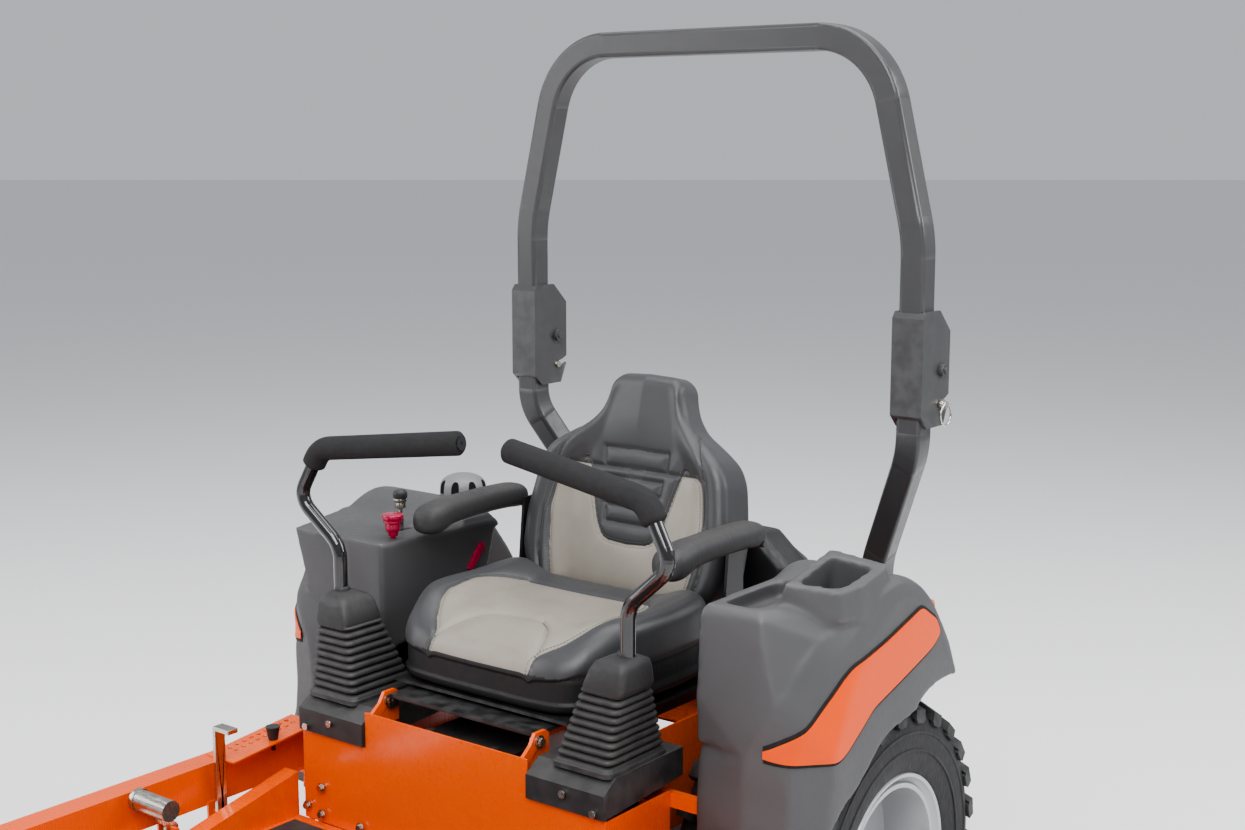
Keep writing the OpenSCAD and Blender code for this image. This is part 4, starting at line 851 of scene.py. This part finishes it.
def fenderShape(sign, setup):
    rings = []
    low, high = fenderRows[0][0], fenderRows[-1][0]
    for i in range(setup["sections"] + 1):
        angle = low + (high - low) * i / setup["sections"]
        arch, top, rx, rr, sx, sr, mx, mr = spline(fenderRows, angle)
        x0, x1 = setup["inner"], max(setup["outer"], sx)
        section = [(x0, arch), (x0, top - 0.012), (x0 + 0.005, top - 0.003), (x0 + 0.018, top), (rx, rr),
            (mx, mr), (sx, sr),
                   (x1, (sr + arch) / 2), (x1, arch)]
        rings.append([fenderPoint(sign, x, r, angle) for x, r in section])
    return loft(rings)


def sided(sign, points):
    return [mid(sign * x, y, z) for x, y, z in points]


def flatPrism(sign, outline, low, high, shrinkTop=1.0):
    cx = sum(p[0] for p in outline) / len(outline)
    cy = sum(p[1] for p in outline) / len(outline)
    upper = [(cx + (x - cx) * shrinkTop, cy + (y - cy) * shrinkTop) for x, y in outline]
    return loft([[mid(sign * x, y, low) for x, y in outline], [mid(sign * x, y, high) for x, y in upper]])


def tyreRoom(sign, setup):
    r = setup["clear"]
    turns = [2 * math.pi * k / 96 for k in range(96)]
    return loft([[mid(sign * x, axleY + r * math.cos(a),
        axleZ + r * math.sin(a)) for a in turns] for x in (0.25, 0.6025)])


def roundedLoop(outline, radius):
    loop = [Vector((x, y, 0)) for x, y in outline]
    out = []
    for i, b in enumerate(loop):
        a, c = loop[i - 1], loop[(i + 1) % len(loop)]
        r = min(radius, (a - b).length * 0.45, (c - b).length * 0.45)
        p, q = b + (a - b).normalized() * r, b + (c - b).normalized() * r
        for k in range(6):
            t = k / 5
            v = p * (1 - t) ** 2 + b * 2 * t * (1 - t) + q * t * t
            out.append((v.x, v.y))
    return out


bulgePoints = [(.42, .115, .695), (.50, .115, .695), (.545, .13, .695), (.41, .092, .715), (.515, .092, .715),
    (.556, .112, .715),
               (.405, .086, .775), (.518, .092, .775), (.580, .165, .775), (.612, .25, .775),
                   (.405, .088, .812), (.513, .10, .812),
               (.598, .25, .812), (.613, .29, .812), (.408, .10, .824), (.505, .115, .824), (.585, .26, .824),
               (.405, .31, .824), (.59, .31, .824), (.405, .32, .70), (.612, .32, .72)]
pillarPoints = [(.553, .085, .68), (.525, .072, .635), (.498, .068, .60), (.41, .075, .60), (.41, .07, .68),
    (.545, .13, .695),
                (.41, .092, .715), (.515, .092, .715), (.41, .14, .60), (.56, .14, .64)]
storageBase = [(.50, .155, .80), (.60, .20, .80), (.612, .25, .80), (.612, .345, .80), (.495, .335, .80)]
storageTop = [(.52, .155, .862), (.592, .20, .85), (.606, .25, .853), (.602, .345, .87), (.503, .325, .886)]
storageMouth = roundedLoop([(.532, .178), (.586, .215), (.590, .315), (.520, .30)], 0.018)


def buildLeftFender(setup):
    solids = [fenderShape(1, setup), hull(sided(1, bulgePoints + pillarPoints)),
        hull(sided(1, storageBase + storageTop))]
    cuts = [tyreRoom(1, setup), flatPrism(1, storageMouth, 0.772, 0.95, 1.04),
            flatPrism(1, roundedRect(.458, .205, .034, .082, .02), 0.797, 0.84, 1.02)]
    obj = moulded("fenderLeft", solids, cuts, setup["voxel"], setup["smoothing"], paint["moulded"])
    return settle(obj, "chassis", "grey_plastic", "fender_left")


def buildRightFender(setup):
    console = [(.407, .088, .815), (.565, .095, .812), (.60, .26, .82), (.60, .36, .82), (.407, .40, .815),
        (.407, .088, .62),
               (.52, .095, .66), (.60, .30, .70)]
    inner = [(.316, .09, .815), (.41, .086, .815), (.41, .42, .806), (.316, .41, .80), (.316, .09, .795),
        (.316, .40, .78),
             (.41, .086, .60), (.41, .42, .62), (.404, .086, .60), (.404, .42, .62)]
    sideSkin = [(.316, .088, .81), (.324, .088, .81), (.324, .405, .80), (.316, .405, .80), (.316, .10, .606),
        (.324, .10, .606),
                (.316, .36, .64), (.324, .36, .64)]
    front = [(.316, .086, .815), (.41, .086, .815), (.316, .094, .815), (.41, .094, .815), (.318, .086, .60),
        (.41, .086, .60),
             (.318, .094, .60), (.41, .094, .60)]
    roof = [(.316, .088, .815), (.41, .086, .815), (.41, .42, .812), (.316, .41, .806), (.316, .09, .804),
        (.41, .09, .804),
            (.41, .42, .80), (.316, .41, .796)]
    hump = [(.318, .30, .80), (.318, .42, .79), (.40, .30, .80), (.40, .42, .79), (.33, .32, .822),
        (.33, .40, .82), (.39, .32, .826),
            (.39, .40, .824)]
    capSeat = lathe([(0.0, 0.80), (0.058, 0.80), (0.054, 0.829), (0.048, 0.832), (0.0, 0.832)], 48,
                    lambda a, b, s: mid(-0.44 + a, 0.44 + b, s))
    solids = [fenderShape(-1, setup)] + [hull(sided(-1, part)) for part in (console, sideSkin, front, roof,
        hump)] + [capSeat]
    slot = flatPrism(-1, roundedRect(.385, .205, .006, .036, .0055), 0.79, 0.84)
    room = lathe([(0.0, 0.79), (0.021, 0.79), (0.021, 0.86), (0.0, 0.86)], 40, lambda a, b,
        s: mid(-0.44 + a, 0.44 + b, s))
    obj = moulded("fenderRight", solids, [tyreRoom(-1, setup), slot, room], setup["voxel"],
        setup["smoothing"], paint["moulded"])
    return settle(obj, "chassis", "grey_plastic", "fender_right")


leftFender = buildLeftFender(fenderSetup)
rightFender = buildRightFender(fenderSetup)
print("fenders ready", len(leftFender.data.polygons), len(rightFender.data.polygons))

trimSetup = {"outline": [(.433, .78), (.488, .747), (.504, .719), (.476, .701), (.414, .684), (.277, .645),
    (.198, .59), (.174, .582),
                         (.085, .591), (.068, .603), (.193, .713), (.217, .727), (.311, .747)],
             # the near-black border piece round the inlay is painted shade for the recess around the trim
             "pieces": (("RecessShadeBorder", 0.0045, 0.0008, "dark", "grey_plastic"),
                 ("Inlay", -0.0005, 0.0028, "orangePlastic", "orange_plastic"))}


def grownLoop(loop, distance):
    out = []
    for i, (x, y) in enumerate(loop):
        a, b = loop[i - 1], loop[(i + 1) % len(loop)]
        n = math.dist(a, b) or 1
        out.append((x - (b[1] - a[1]) / n * distance, y + (b[0] - a[0]) / n * distance))
    return out


def buildTrim(side, sign, fender, setup):  # the outline pushed through a slightly swollen copy of the fender
    for label, grown, rise, finishName, slot in setup["pieces"]:
        outline = grownLoop(roundedLoop(setup["outline"], 0.012), grown)
        ends = [[mid(sign * x, y, z) for y, z in outline] for x in (0.535, 0.66)]
        obj = cleanUp(newObject(f"trim{label}_{side}", *loft(ends)))
        skin = fender.copy()
        skin.data = fender.data.copy()
        scene.collection.objects.link(skin)
        bm = bmesh.new()
        bm.from_mesh(skin.data)
        for _ in range(8):
            bmesh.ops.smooth_vert(bm, verts=bm.verts, factor=0.5, use_axis_x=True, use_axis_y=True,
                use_axis_z=True)
        bm.normal_update()
        for v in bm.verts:
            v.co += v.normal * (rise + 0.0012)
        bm.to_mesh(skin.data)
        bm.free()
        boolean = obj.modifiers.new("skin", "BOOLEAN")
        boolean.operation, boolean.object, boolean.solver = "INTERSECT", skin, "MANIFOLD"
        bake(obj)
        bpy.data.objects.remove(skin)
        obj.data.materials.clear()
        obj.data.materials.append(paint[finishName])
        softShade(obj, 40)
        settle(obj, "chassis", slot, *(("fender_trims",) if (side, label) == ("left", "Inlay") else ()))
        print(obj.name, len(obj.data.polygons))


for sideName, sideSign, fenderObj in (("left", 1, leftFender), ("right", -1, rightFender)):
    buildTrim(sideName, sideSign, fenderObj, trimSetup)
print("fender trims ready")

# Faceted engine cover behind the seat
engineCover = {"outline": [(.030, .700), (.262, .700), (.284, .735), (.284, .768), (.246, .790), (.218, .826),
    (.06, .830),
                           (.03, .80)], "front": 0.542, "middle": 0.556, "back": 0.628}


def buildEngineCover(setup):
    cx, cz = 0.155, 0.76
    shrink = lambda t: [(cx + (x - cx) * t, cz + (z - cz) * t) for x, z in setup["outline"]]
    points = [mid(x, setup["front"], z) for x, z in shrink(0.8)] + [mid(x, setup["middle"], z) for x,
        z in setup["outline"]]
    points += [mid(x, 0.612, z) for x, z in setup["outline"]] + [mid(x, setup["back"], z) for x,
        z in shrink(0.86)]
    base = boxShape(mid(.05, .56, .588), mid(.25, .622, .71))
    latch = boxShape(mid(.13, .539, .715), mid(.18, .546, .80))
    obj = moulded("engineCover", [hull(points), base, latch], [], 0.0035, 3, paint["box"])
    settle(obj, "chassis", "black_plastic", "air_cleaner_cover")


buildEngineCover(engineCover)
print("engine cover ready")

# Seat: cushion and back, each a filled skin with its seams and channels
def ringShares(edge=18, middle=44):  # shares of the way out from the centre, closer together at the edge
    inner = [0.02 + 0.84 * k / middle for k in range(middle)]
    return inner + [0.86 + 0.14 * math.sin(math.pi / 2 * k / edge) for k in range(edge + 1)]


def paddedShell(outline, centre, front, back, radius, sideRings=14):
    cx, cy = centre
    verts, kinds = [], []
    shares = ringShares()

    def addRing(share, height, which):
        for x, y in outline:
            px, py = cx + (x - cx) * share, cy + (y - cy) * share
            d = math.hypot(x - px, y - py)
            drop = radius - math.sqrt(max(0, radius ** 2 - max(0, radius - d) ** 2)) if which else 0
            h = height(px, py) - drop * which
            verts.append((px, py, h))
            kinds.append(which)
    for share in shares:
        addRing(share, front, 1)
    tops = verts[-len(outline):]
    bottoms = [(x, y, back(x, y) + radius * 0.6) for x, y in outline]
    for k in range(1, sideRings + 1):
        t = k / (sideRings + 1)
        for (x, y, z0), (_, _, z1) in zip(tops, bottoms):
            verts.append((x, y, z0 + (z1 - z0) * t))
            kinds.append(0)
    for share in reversed(shares):
        for x, y in outline:
            px, py = cx + (x - cx) * share, cy + (y - cy) * share
            d = math.hypot(x - px, y - py)
            r = radius * 0.6
            verts.append((px, py, back(px, py) + r - math.sqrt(max(0, r ** 2 - max(0, r - d) ** 2))))
            kinds.append(-1)
    n = len(outline)
    rows = len(verts) // n
    faces = [(i * n + j, i * n + (j + 1) % n, (i + 1) * n + (j + 1) % n,
        (i + 1) * n + j) for i in range(rows - 1) for j in range(n)]
    faces += [tuple(reversed(range(n))), tuple((rows - 1) * n + j for j in range(n))]
    return verts, faces, kinds


def evenLoop(loop, count):  # the same closed line with evenly spaced points
    closed = list(loop) + [loop[0]]
    total = sum(math.dist(a, b) for a, b in zip(closed, closed[1:]))
    out, walked, target = [], 0.0, 0.0
    for a, b in zip(closed, closed[1:]):
        d = math.dist(a, b)
        while target <= walked + d and len(out) < count:
            t = (target - walked) / max(d, 1e-9)
            out.append((a[0] + (b[0] - a[0]) * t, a[1] + (b[1] - a[1]) * t))
            target += total / count
        walked += d
    return out


def mirrored(points):
    return list(points) + [(-x, y) for x, y in reversed(points)]


def closeSteps(line, step=0.0006):
    out = []
    for a, b in zip(line, line[1:]):
        count = max(1, int(math.dist(a, b) / step))
        out += [(a[0] + (b[0] - a[0]) * k / count, a[1] + (b[1] - a[1]) * k / count) for k in range(count)]
    return out + [tuple(line[-1])]


def nearestOn(points):
    tree = KDTree(len(points))
    for i, (x, y) in enumerate(points):
        tree.insert((x, y, 0), i)
    tree.balance()
    return tree


def buildPadded(name, setup, place, node):
    outline = evenLoop(roundedLoop(mirrored(setup["outline"]), setup["corner"]), 340)
    seamLines = setup["grooves"] + [setup["panel"] + setup["panel"][:1]]
    seams = nearestOn([p for line in seamLines for p in closeSteps(line)])
    panelEdge = nearestOn(closeSteps(setup["panel"] + setup["panel"][:1]))
    tongue = setup.get("tongue")
    tongueEdge = nearestOn(closeSteps(tongue + tongue[:1])) if tongue else None

    def grooveDistance(p):
        return seams.find((*p, 0))[2]

    def panelDistance(p):
        d = panelEdge.find((*p, 0))[2] * (1 if inside(p, setup["panel"]) else -1)
        if tongue:
            d = min(d, tongueEdge.find((*p, 0))[2] * (-1 if inside(p, tongue) else 1))
        return d

    def front(x, y):
        d = grooveDistance((x, y))
        puff = setup["puff"] * (1 - math.exp(-d / 0.016)) - 0.0035 * math.exp(-(d / 0.0035) ** 2)
        return setup["front"](x, y) + puff
    verts, faces, kinds = paddedShell(outline, setup["centre"], front, setup["back"], setup["radius"])
    seam = setup["seam"]
    rows = []
    for (x, y, z), kind in zip(verts, kinds):
        if kind == 1:
            rows.append((panelDistance((x, y)), grooveDistance((x, y))))
        else:
            rows.append((-0.02, 0.02))
    moved = []
    for (x, y, z), kind in zip(verts, kinds):
        if seam is not None and kind == 0:
            nip = 0.006 * math.exp(-((z - seam) / 0.006) ** 2) + setup["tuck"] * smoothStep(seam,
                seam - 0.012, z)
            cx, cy = setup["centre"]
            d = math.hypot(x - cx, y - cy)
            x, y = x - (x - cx) / d * nip, y - (y - cy) / d * nip
        moved.append((x, y, z))
    obj = newObject(name, [place(*v) for v in moved], faces, paint["vinyl"], paint["skirt"])
    setAttribute(obj, "panel", [r[0] for r in rows])
    setAttribute(obj, "groove", [r[1] for r in rows])
    if seam is not None:
        for polygon in obj.data.polygons:
            if max(moved[i][2] for i in polygon.vertices) < seam + 0.002 or kinds[polygon.vertices[0]] == -1:
                polygon.material_index = 1
    bm = bmesh.new()
    bm.from_mesh(obj.data)
    bmesh.ops.recalc_face_normals(bm, faces=bm.faces)
    bm.to_mesh(obj.data)
    bm.free()
    softShade(obj, 80)
    settle(obj, "seat", "vinyl", node)
    tree = BVHTree.FromPolygons([v.co for v in obj.data.vertices],
        [tuple(p.vertices) for p in obj.data.polygons])
    return obj, tree


def stitchOn(name, tree, place, line, above=0.12):  # a row of threads laid on a padded skin
    points = []
    direction = (place(0, 0, 0) - place(0, 0, 1)).normalized()
    for x, y in line:
        hit = tree.ray_cast(place(x, y, above), direction)
        if hit[0] is not None:
            points.append(hit[0] + hit[1] * 0.0004)
    if len(points) > 3:
        stitches(name, points, 0.0062, "seat")


def offsetLine(line, distance):
    out = []
    for i, p in enumerate(line):
        a, b = line[max(i - 1, 0)], line[min(i + 1, len(line) - 1)]
        n = math.dist(a, b) or 1
        out.append((p[0] - (b[1] - a[1]) / n * distance, p[1] + (b[0] - a[0]) / n * distance))
    return out


cushionHeights = [(0.0, .692), (.03, .704), (.06, .716), (.10, .728), (.16, .731), (.25, .729), (.32, .732),
    (.366, .736)]
cushionPanelSide = curveThrough([(.115, -.02), (.118, .022), (.15, .06), (.178, .11), (.188, .16),
    (.193, .21), (.172, .26), (.14, .295)], 8)


def cushionTop(x, y):
    base = spline(cushionHeights, y)[0]
    sides = 0.019 * smoothStep(.12, .20, abs(x)) * smoothStep(.0, .13, y)
    return base + sides - 0.004 * math.exp(-((x / 0.13) ** 2 + ((y - 0.2) / 0.1) ** 2))


cushionSetup = {
    "outline": [(.0, -.004), (.10, -.003), (.17, .004), (.205, .03), (.224, .08), (.243, .13), (.247, .2),
        (.245, .30), (.235, .362), (.0, .366)],
    "corner": 0.03, "centre": (0, 0.18), "radius": 0.03, "puff": 0.006, "seam": 0.672, "tuck": 0.004,
        "front": cushionTop,
    "back": lambda x, y: 0.6085, "panel": mirrored(cushionPanelSide),
    "grooves": [curveThrough([(-.118, .0), (-.10, .045), (-.072, .085), (-.02, .108), (.05, .112)], 10),
                curveThrough([(.118, .0), (.108, .04), (.088, .085), (.052, .113)], 8)],
}
cushionPlace = lambda x, y, z: mid(x, y, z)
cushion, cushionTree = buildPadded("cushion", cushionSetup, cushionPlace, "seat_cushion")
for sideName, sideSign in bothSides:
    edge = [(sideSign * x, y) for x, y in cushionPanelSide]
    stitchOn(f"cushionStitchOuter_{sideName}", cushionTree, lambda x, y, z: mid(x, y, z + 0.75),
        offsetLine(edge, 0.0055 * -sideSign))
    stitchOn(f"cushionStitchInner_{sideName}", cushionTree, lambda x, y, z: mid(x, y, z + 0.75),
        offsetLine(edge, 0.0055 * sideSign))
print("cushion ready")

backFoot, backLean = (0.392, 0.738), math.radians(13)


def backPlace(u, v, w):
    y = backFoot[0] - w * math.cos(backLean) + v * math.sin(backLean)
    return mid(u, y, backFoot[1] + w * math.sin(backLean) + v * math.cos(backLean))


taupeSide = curveThrough([(.155, -.028), (.17, .04), (.178, .11), (.175, .15), (.165, .195), (.15, .208)], 8)
greySide = curveThrough([(.135, .208), (.118, .22), (.111, .215), (.100, .183), (.082, .12), (.066, .085),
    (.046, .07), (.0, .066)], 8)
backOutline = [(.0, -.045), (.175, -.045), (.205, -.025), (.222, .0), (.235, .034), (.237, .10), (.228, .157),
    (.218, .208), (.20, .24),
               (.165, .265), (.12, .292), (.098, .319), (.086, .347), (.08, .375), (.06, .39), (.0, .392)]
ribLines = [[(-.075, .245), (.075, .245), (.073, .21), (-.073, .21), (-.075, .245)],
            [(-.066, .190), (.066, .190), (.063, .163), (-.063, .163), (-.066, .190)],
            [(-.06, .138), (.06, .138), (.056, .105), (-.056, .105), (-.06, .138)]]
sideSeam = curveThrough([(.085, .389), (.09, .383), (.111, .318), (.128, .293), (.167, .226), (.187, .136),
    (.194, .096), (.19, .03), (.175, -.03)], 6)


def backFront(u, v):
    wide = spline([(-.05, .2), (.1, .235), (.2, .22), (.27, .15), (.39, .085)], v)[0]
    t = min(1, abs(u) / wide)
    return -0.010 + (0.022 * smoothStep(.55, .88, t) + 0.006 * t) * (1 - 0.65 * smoothStep(.22, .33,
        v)) + 0.012 * smoothStep(.2, .32, v) * (1 - t)


backSetup = {
    "outline": backOutline, "corner": 0.02, "centre": (0, 0.14), "radius": 0.024, "puff": 0.0045,
        "seam": None, "tuck": 0,
    "front": backFront, "back": lambda u, v: -0.072 + 0.004 * math.cos(u * 12), "panel": mirrored(taupeSide),
    "grooves": ribLines + [sideSeam, [(-x, y) for x, y in sideSeam], greySide,
        [(-x, y) for x, y in greySide]],
    "tongue": mirrored([(0.0, 0.22)] + greySide),
}
seatBack, backTree = buildPadded("seatBack", backSetup, backPlace, "seat_back")
for sideName, sideSign in bothSides:
    for label, line in (("Seam", sideSeam[4:-6]), ("Tongue", greySide[8:]), ("Panel", taupeSide)):
        edge = [(sideSign * x, y) for x, y in line]
        stitchOn(f"back{label}Stitch_{sideName}", backTree, backPlace, offsetLine(edge, 0.005))
        stitchOn(f"back{label}Thread_{sideName}", backTree, backPlace, offsetLine(edge, -0.005))
print("seat back ready")

# Armrests, grips and boots
armrestSetup = [  # along, half width, above, below, droop
    (.150, .004, .003, .003, -.016), (.153, .016, .013, .014, -.014), (.160, .026, .020, .022, -.011),
        (.172, .032, .025, .028, -.008),
    (.19, .0335, .0265, .029, -.005), (.215, .0325, .026, .024, -.001), (.25, .031, .025, .022, .001),
        (.32, .030, .025, .021, .002),
    (.38, .031, .0255, .021, .001), (.415, .031, .025, .0215, -.001), (.43, .026, .02, .018, -.002),
        (.438, .012, .009, .008, -.003)]


def buildArmrest(side, sign, rows):
    rings = []
    for i in range(64):
        along = rows[0][0] + (rows[-1][0] - rows[0][0]) * (0.5 - 0.5 * math.cos(math.pi * i / 63))
        half, above, below, droop = spline(rows, along)
        ring = []
        for k in range(36):
            a = 2 * math.pi * k / 36
            c, s = math.cos(a), math.sin(a)
            x = half * math.copysign(abs(c) ** 0.75, c)
            z = (above if s > 0 else below) * math.copysign(abs(s) ** 0.75, s)
            ring.append(mid(sign * (.2805 + x), along, .8605 + droop + z))
        rings.append(ring)
    obj = cleanUp(newObject(f"armPad_{side}", *loft(rings), paint["armPad"]), 70)
    settle(obj, f"armrest_{side}", "foam", f"armrest_{side}")


gripSetup = {"path": [(.0603, .9685), (.04, 1.004), (-.28, 1.044)], "bends": [0, 0.045, 0], "radius": 0.0215}


def gripPlace(sign, x, z):
    tilt = math.radians(6)
    return mid(sign * (.330 + x * math.cos(tilt)), -.004 - x * math.sin(tilt), z)


def buildGrip(side, sign, setup):
    path = roundPath([gripPlace(sign, x, z) for x, z in setup["path"]], setup["bends"], 0.004)
    length = sum((b - a).length for a, b in zip(path, path[1:]))
    r = setup["radius"]

    def radius(along):
        end = min(along, length - along)
        return r * (math.sqrt(max(0.02, 1 - (1 - end / 0.009) ** 2)) if end < 0.009 else 1)
    obj = cleanUp(newObject(f"gripFoam_{side}", *tube(path, radius, 40), paint["foam"]), 60)
    settle(obj, f"lap_bar_{side}", "foam", f"grip_{side}")


bootSetup = {"base": (.288, .003, .060, .080, .566), "top": (.308, -.005, .039, .045, .692), "folds": 9}


def buildBoot(side, sign, setup):
    rings = []

    def ring(cx, cy, hx, hy, z, r):
        rings.append([mid(sign * x, y, z) for x, y in roundedRect(cx, cy, hx, hy, r, 6)])
    x0, y0, hx0, hy0, z0 = setup["base"]
    x1, y1, hx1, hy1, z1 = setup["top"]
    ring(x0, y0, hx0, hy0, z0 - 0.002, 0.012)
    ring(x0, y0, hx0, hy0, z0 + 0.006, 0.012)
    folds = setup["folds"]
    for k in range(folds * 8 + 1):
        t = k / (folds * 8)
        wave = (0.5 + 0.5 * math.cos(2 * math.pi * k / 8)) ** 0.7
        shrink = -0.0075 + 0.0075 * wave
        lean = 0.0015 * math.sin(2 * math.pi * k / 8)
        at = [a + (b - a) * t for a, b in ((x0, x1), (y0, y1), (hx0 - 0.002, hx1 + 0.003),
            (hy0 - 0.002, hy1 + 0.003), (z0 + 0.008, z1))]
        ring(at[0], at[1], at[2] + shrink, at[3] + shrink, at[4] + lean, 0.014)
    for cx, cy, hx, hy, z, r in ((.311, -.005, .041, .047, z1 + 0.003, .012),
            (.3115, -.005, .0415, .0475, z1 + 0.008, .012),
                                 (.316, -.004, .037, .042, z1 + 0.034, .012),
                                     (.319, -.004, .033, .038, z1 + 0.046, .014),
                                 (.325, -.004, .02, .024, z1 + 0.053, .014),
                                     (.327, -.004, .0145, .0145, z1 + 0.055, .0144),
                                 (.327, -.004, .0138, .0138, z1 + 0.061, .0137),
                                     (.327, -.004, .0128, .0128, z1 + 0.062, .0127)):
        ring(cx, cy, hx, hy, z, r)
    obj = cleanUp(newObject(f"bellows_{side}", *loft(rings, True, True), paint["boot"]), 45)
    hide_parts(f"boot_{side}")
    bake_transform(obj)


for sideName, sideSign in bothSides:
    buildArmrest(sideName, sideSign, armrestSetup)
    buildGrip(sideName, sideSign, gripSetup)
    buildBoot(sideName, sideSign, bootSetup)
print("armrests, grips and boots ready")

# Knobs on the console, and the fuel cap
knobs = {
    "ptoPull": ("pto_knob", "red", "red_plastic", (-.338, .138),
        [(0, .806), (.0045, .806), (.0045, .826), (.012, .829), (.0145, .834),
                (.0155, .845), (.019, .852), (.0205, .857), (.0195, .861), (.012, .8625), (0, .8625)]),
    "throttleKnob": ("throttle_lever", "box", "black_plastic", (-.385, .205),
        [(0, .832), (.0038, .832), (.0038, .858), (.007, .860),
                     (.0115, .868), (.0138, .877), (.0132, .886), (.009, .8905), (0, .892)]),
}


def buildKnob(name, row, sides=40):
    node, finishName, slot, at, profile = row
    smooth = curveThrough(profile[1:-1], 3)
    obj = cleanUp(newObject(name, *lathe([profile[0]] + smooth + [profile[-1]], sides, lambda a, b,
        s: mid(at[0] + a, at[1] + b, s)),
                            paint[finishName]), 40)
    settle(obj, node, slot)


for knobName, knobRow in knobs.items():
    buildKnob(knobName, knobRow)
dressNode("pto_knob", "red", 0.001)
dressNode("throttle_lever", "zinc", 0.0005)

capSetup = {"at": (-.44, .44), "profile": [(0, .8335), (.030, .8335), (.046, .8345), (.0475, .838),
    (.047, .853), (.044, .864), (.036, .872),
                                           (.022, .878), (.008, .880), (0, .880)], "scoops": 8}


def buildFuelCap(setup):
    x, y = setup["at"]
    place = lambda a, b, s: mid(x + a, y + b, s)
    cap = cleanUp(newObject("fuelCapDome", *lathe([setup["profile"][0]] + curveThrough(setup["profile"][1:-1],
        5) + [setup["profile"][-1]],
                                                  96, place), paint["cap"]), 40)
    # near-black recess material for the finger scoops: painted shade
    cap.data.materials.append(paint["dark"])
    for k in range(setup["scoops"]):
        a = 2 * math.pi * (k + 0.5) / setup["scoops"]
        centre = (0.0485 * math.cos(a), 0.0485 * math.sin(a))
        ring = [(centre[0] + 0.0085 * math.cos(b),
            centre[1] + 0.0085 * math.sin(b)) for b in [2 * math.pi * i / 20 for i in range(20)]]
        tool = cleanUp(newObject("scoop", *loft([[place(p, q, z) for p, q in ring] for z in (0.842, 0.89)]),
            paint["dark"]))
        boolean = cap.modifiers.new("cut", "BOOLEAN")
        boolean.operation, boolean.object, boolean.solver = "DIFFERENCE", tool, "EXACT"
        bake(cap)
        bpy.data.objects.remove(tool)
    softShade(cap, 35)
    settle(cap, "fuel_cap", "grey_plastic", "fuel_cap")


buildFuelCap(capSetup)
screws("panelScrews", [(mid(s * x, -.0935, z), (0, -1, 0)) for s in (1, -1) for x,
    z in ((.30, .402), (.338, .360), (.30, .352), (.20, .352))],
       0.0062, "chassis")
screws("seatHingeBolts", [(mid(s * .170, -.045, .582), (-s, 0, 0)) for s in (1,
    -1)] + [(mid(s * .179, -.045, .582), (s, 0, 0)) for s in (1, -1)],
       0.0075, "chassis")
print("knobs, cap and screws ready")

# Plain floor and soft studio light
stageSetup = {"colour": (0.83, 0.83, 0.83), "size": 120}


def buildStage(setup):
    half = setup["size"] / 2
    floor = newObject("floor", [(x, y, -0.0005) for x,
        y in ((-half, -half), (half, -half), (half, half), (-half, half))],
                      [(0, 1, 2, 3)])
    material = bpy.data.materials.new("floorPaper")
    material.use_nodes = True
    shader = material.node_tree.nodes["Principled BSDF"]
    shader.inputs["Base Color"].default_value = (*setup["colour"], 1)
    shader.inputs["Roughness"].default_value = 0.85
    floor.data.materials.append(material)
    for name, place, size, power, aim in (("key", (2.2, -3.4, 4.4), 3.2, 250, (0, 0, 0.6)),
            ("fill", (-3.8, -2.4, 2.6), 3.6, 95, (0, 0, 0.7)),
                                          ("sky", (0.4, 0.6, 5.2), 4.5, 200, (0, 0, 0)),
                                              ("rim", (3.6, 2.8, 3.2), 2.4, 110, (0, 0, 0.8))):
        data = bpy.data.lights.new(name, "AREA")
        data.size, data.energy = size, power
        lamp = bpy.data.objects.new(name, data)
        lamp.location = mid(*place)
        lamp.rotation_mode = "QUATERNION"
        lamp.rotation_quaternion = (mid(*aim) - lamp.location).to_track_quat("-Z", "Y")
        scene.collection.objects.link(lamp)
    world = bpy.data.worlds.new("studio")
    world.use_nodes = True
    world.node_tree.nodes["Background"].inputs[0].default_value = (0.92, 0.94, 1, 1)
    world.node_tree.nodes["Background"].inputs[1].default_value = 0.5
    scene.world = world
    scene.view_settings.view_transform = "AgX"
    scene.view_settings.look = "AgX - Medium High Contrast"


buildStage(stageSetup)
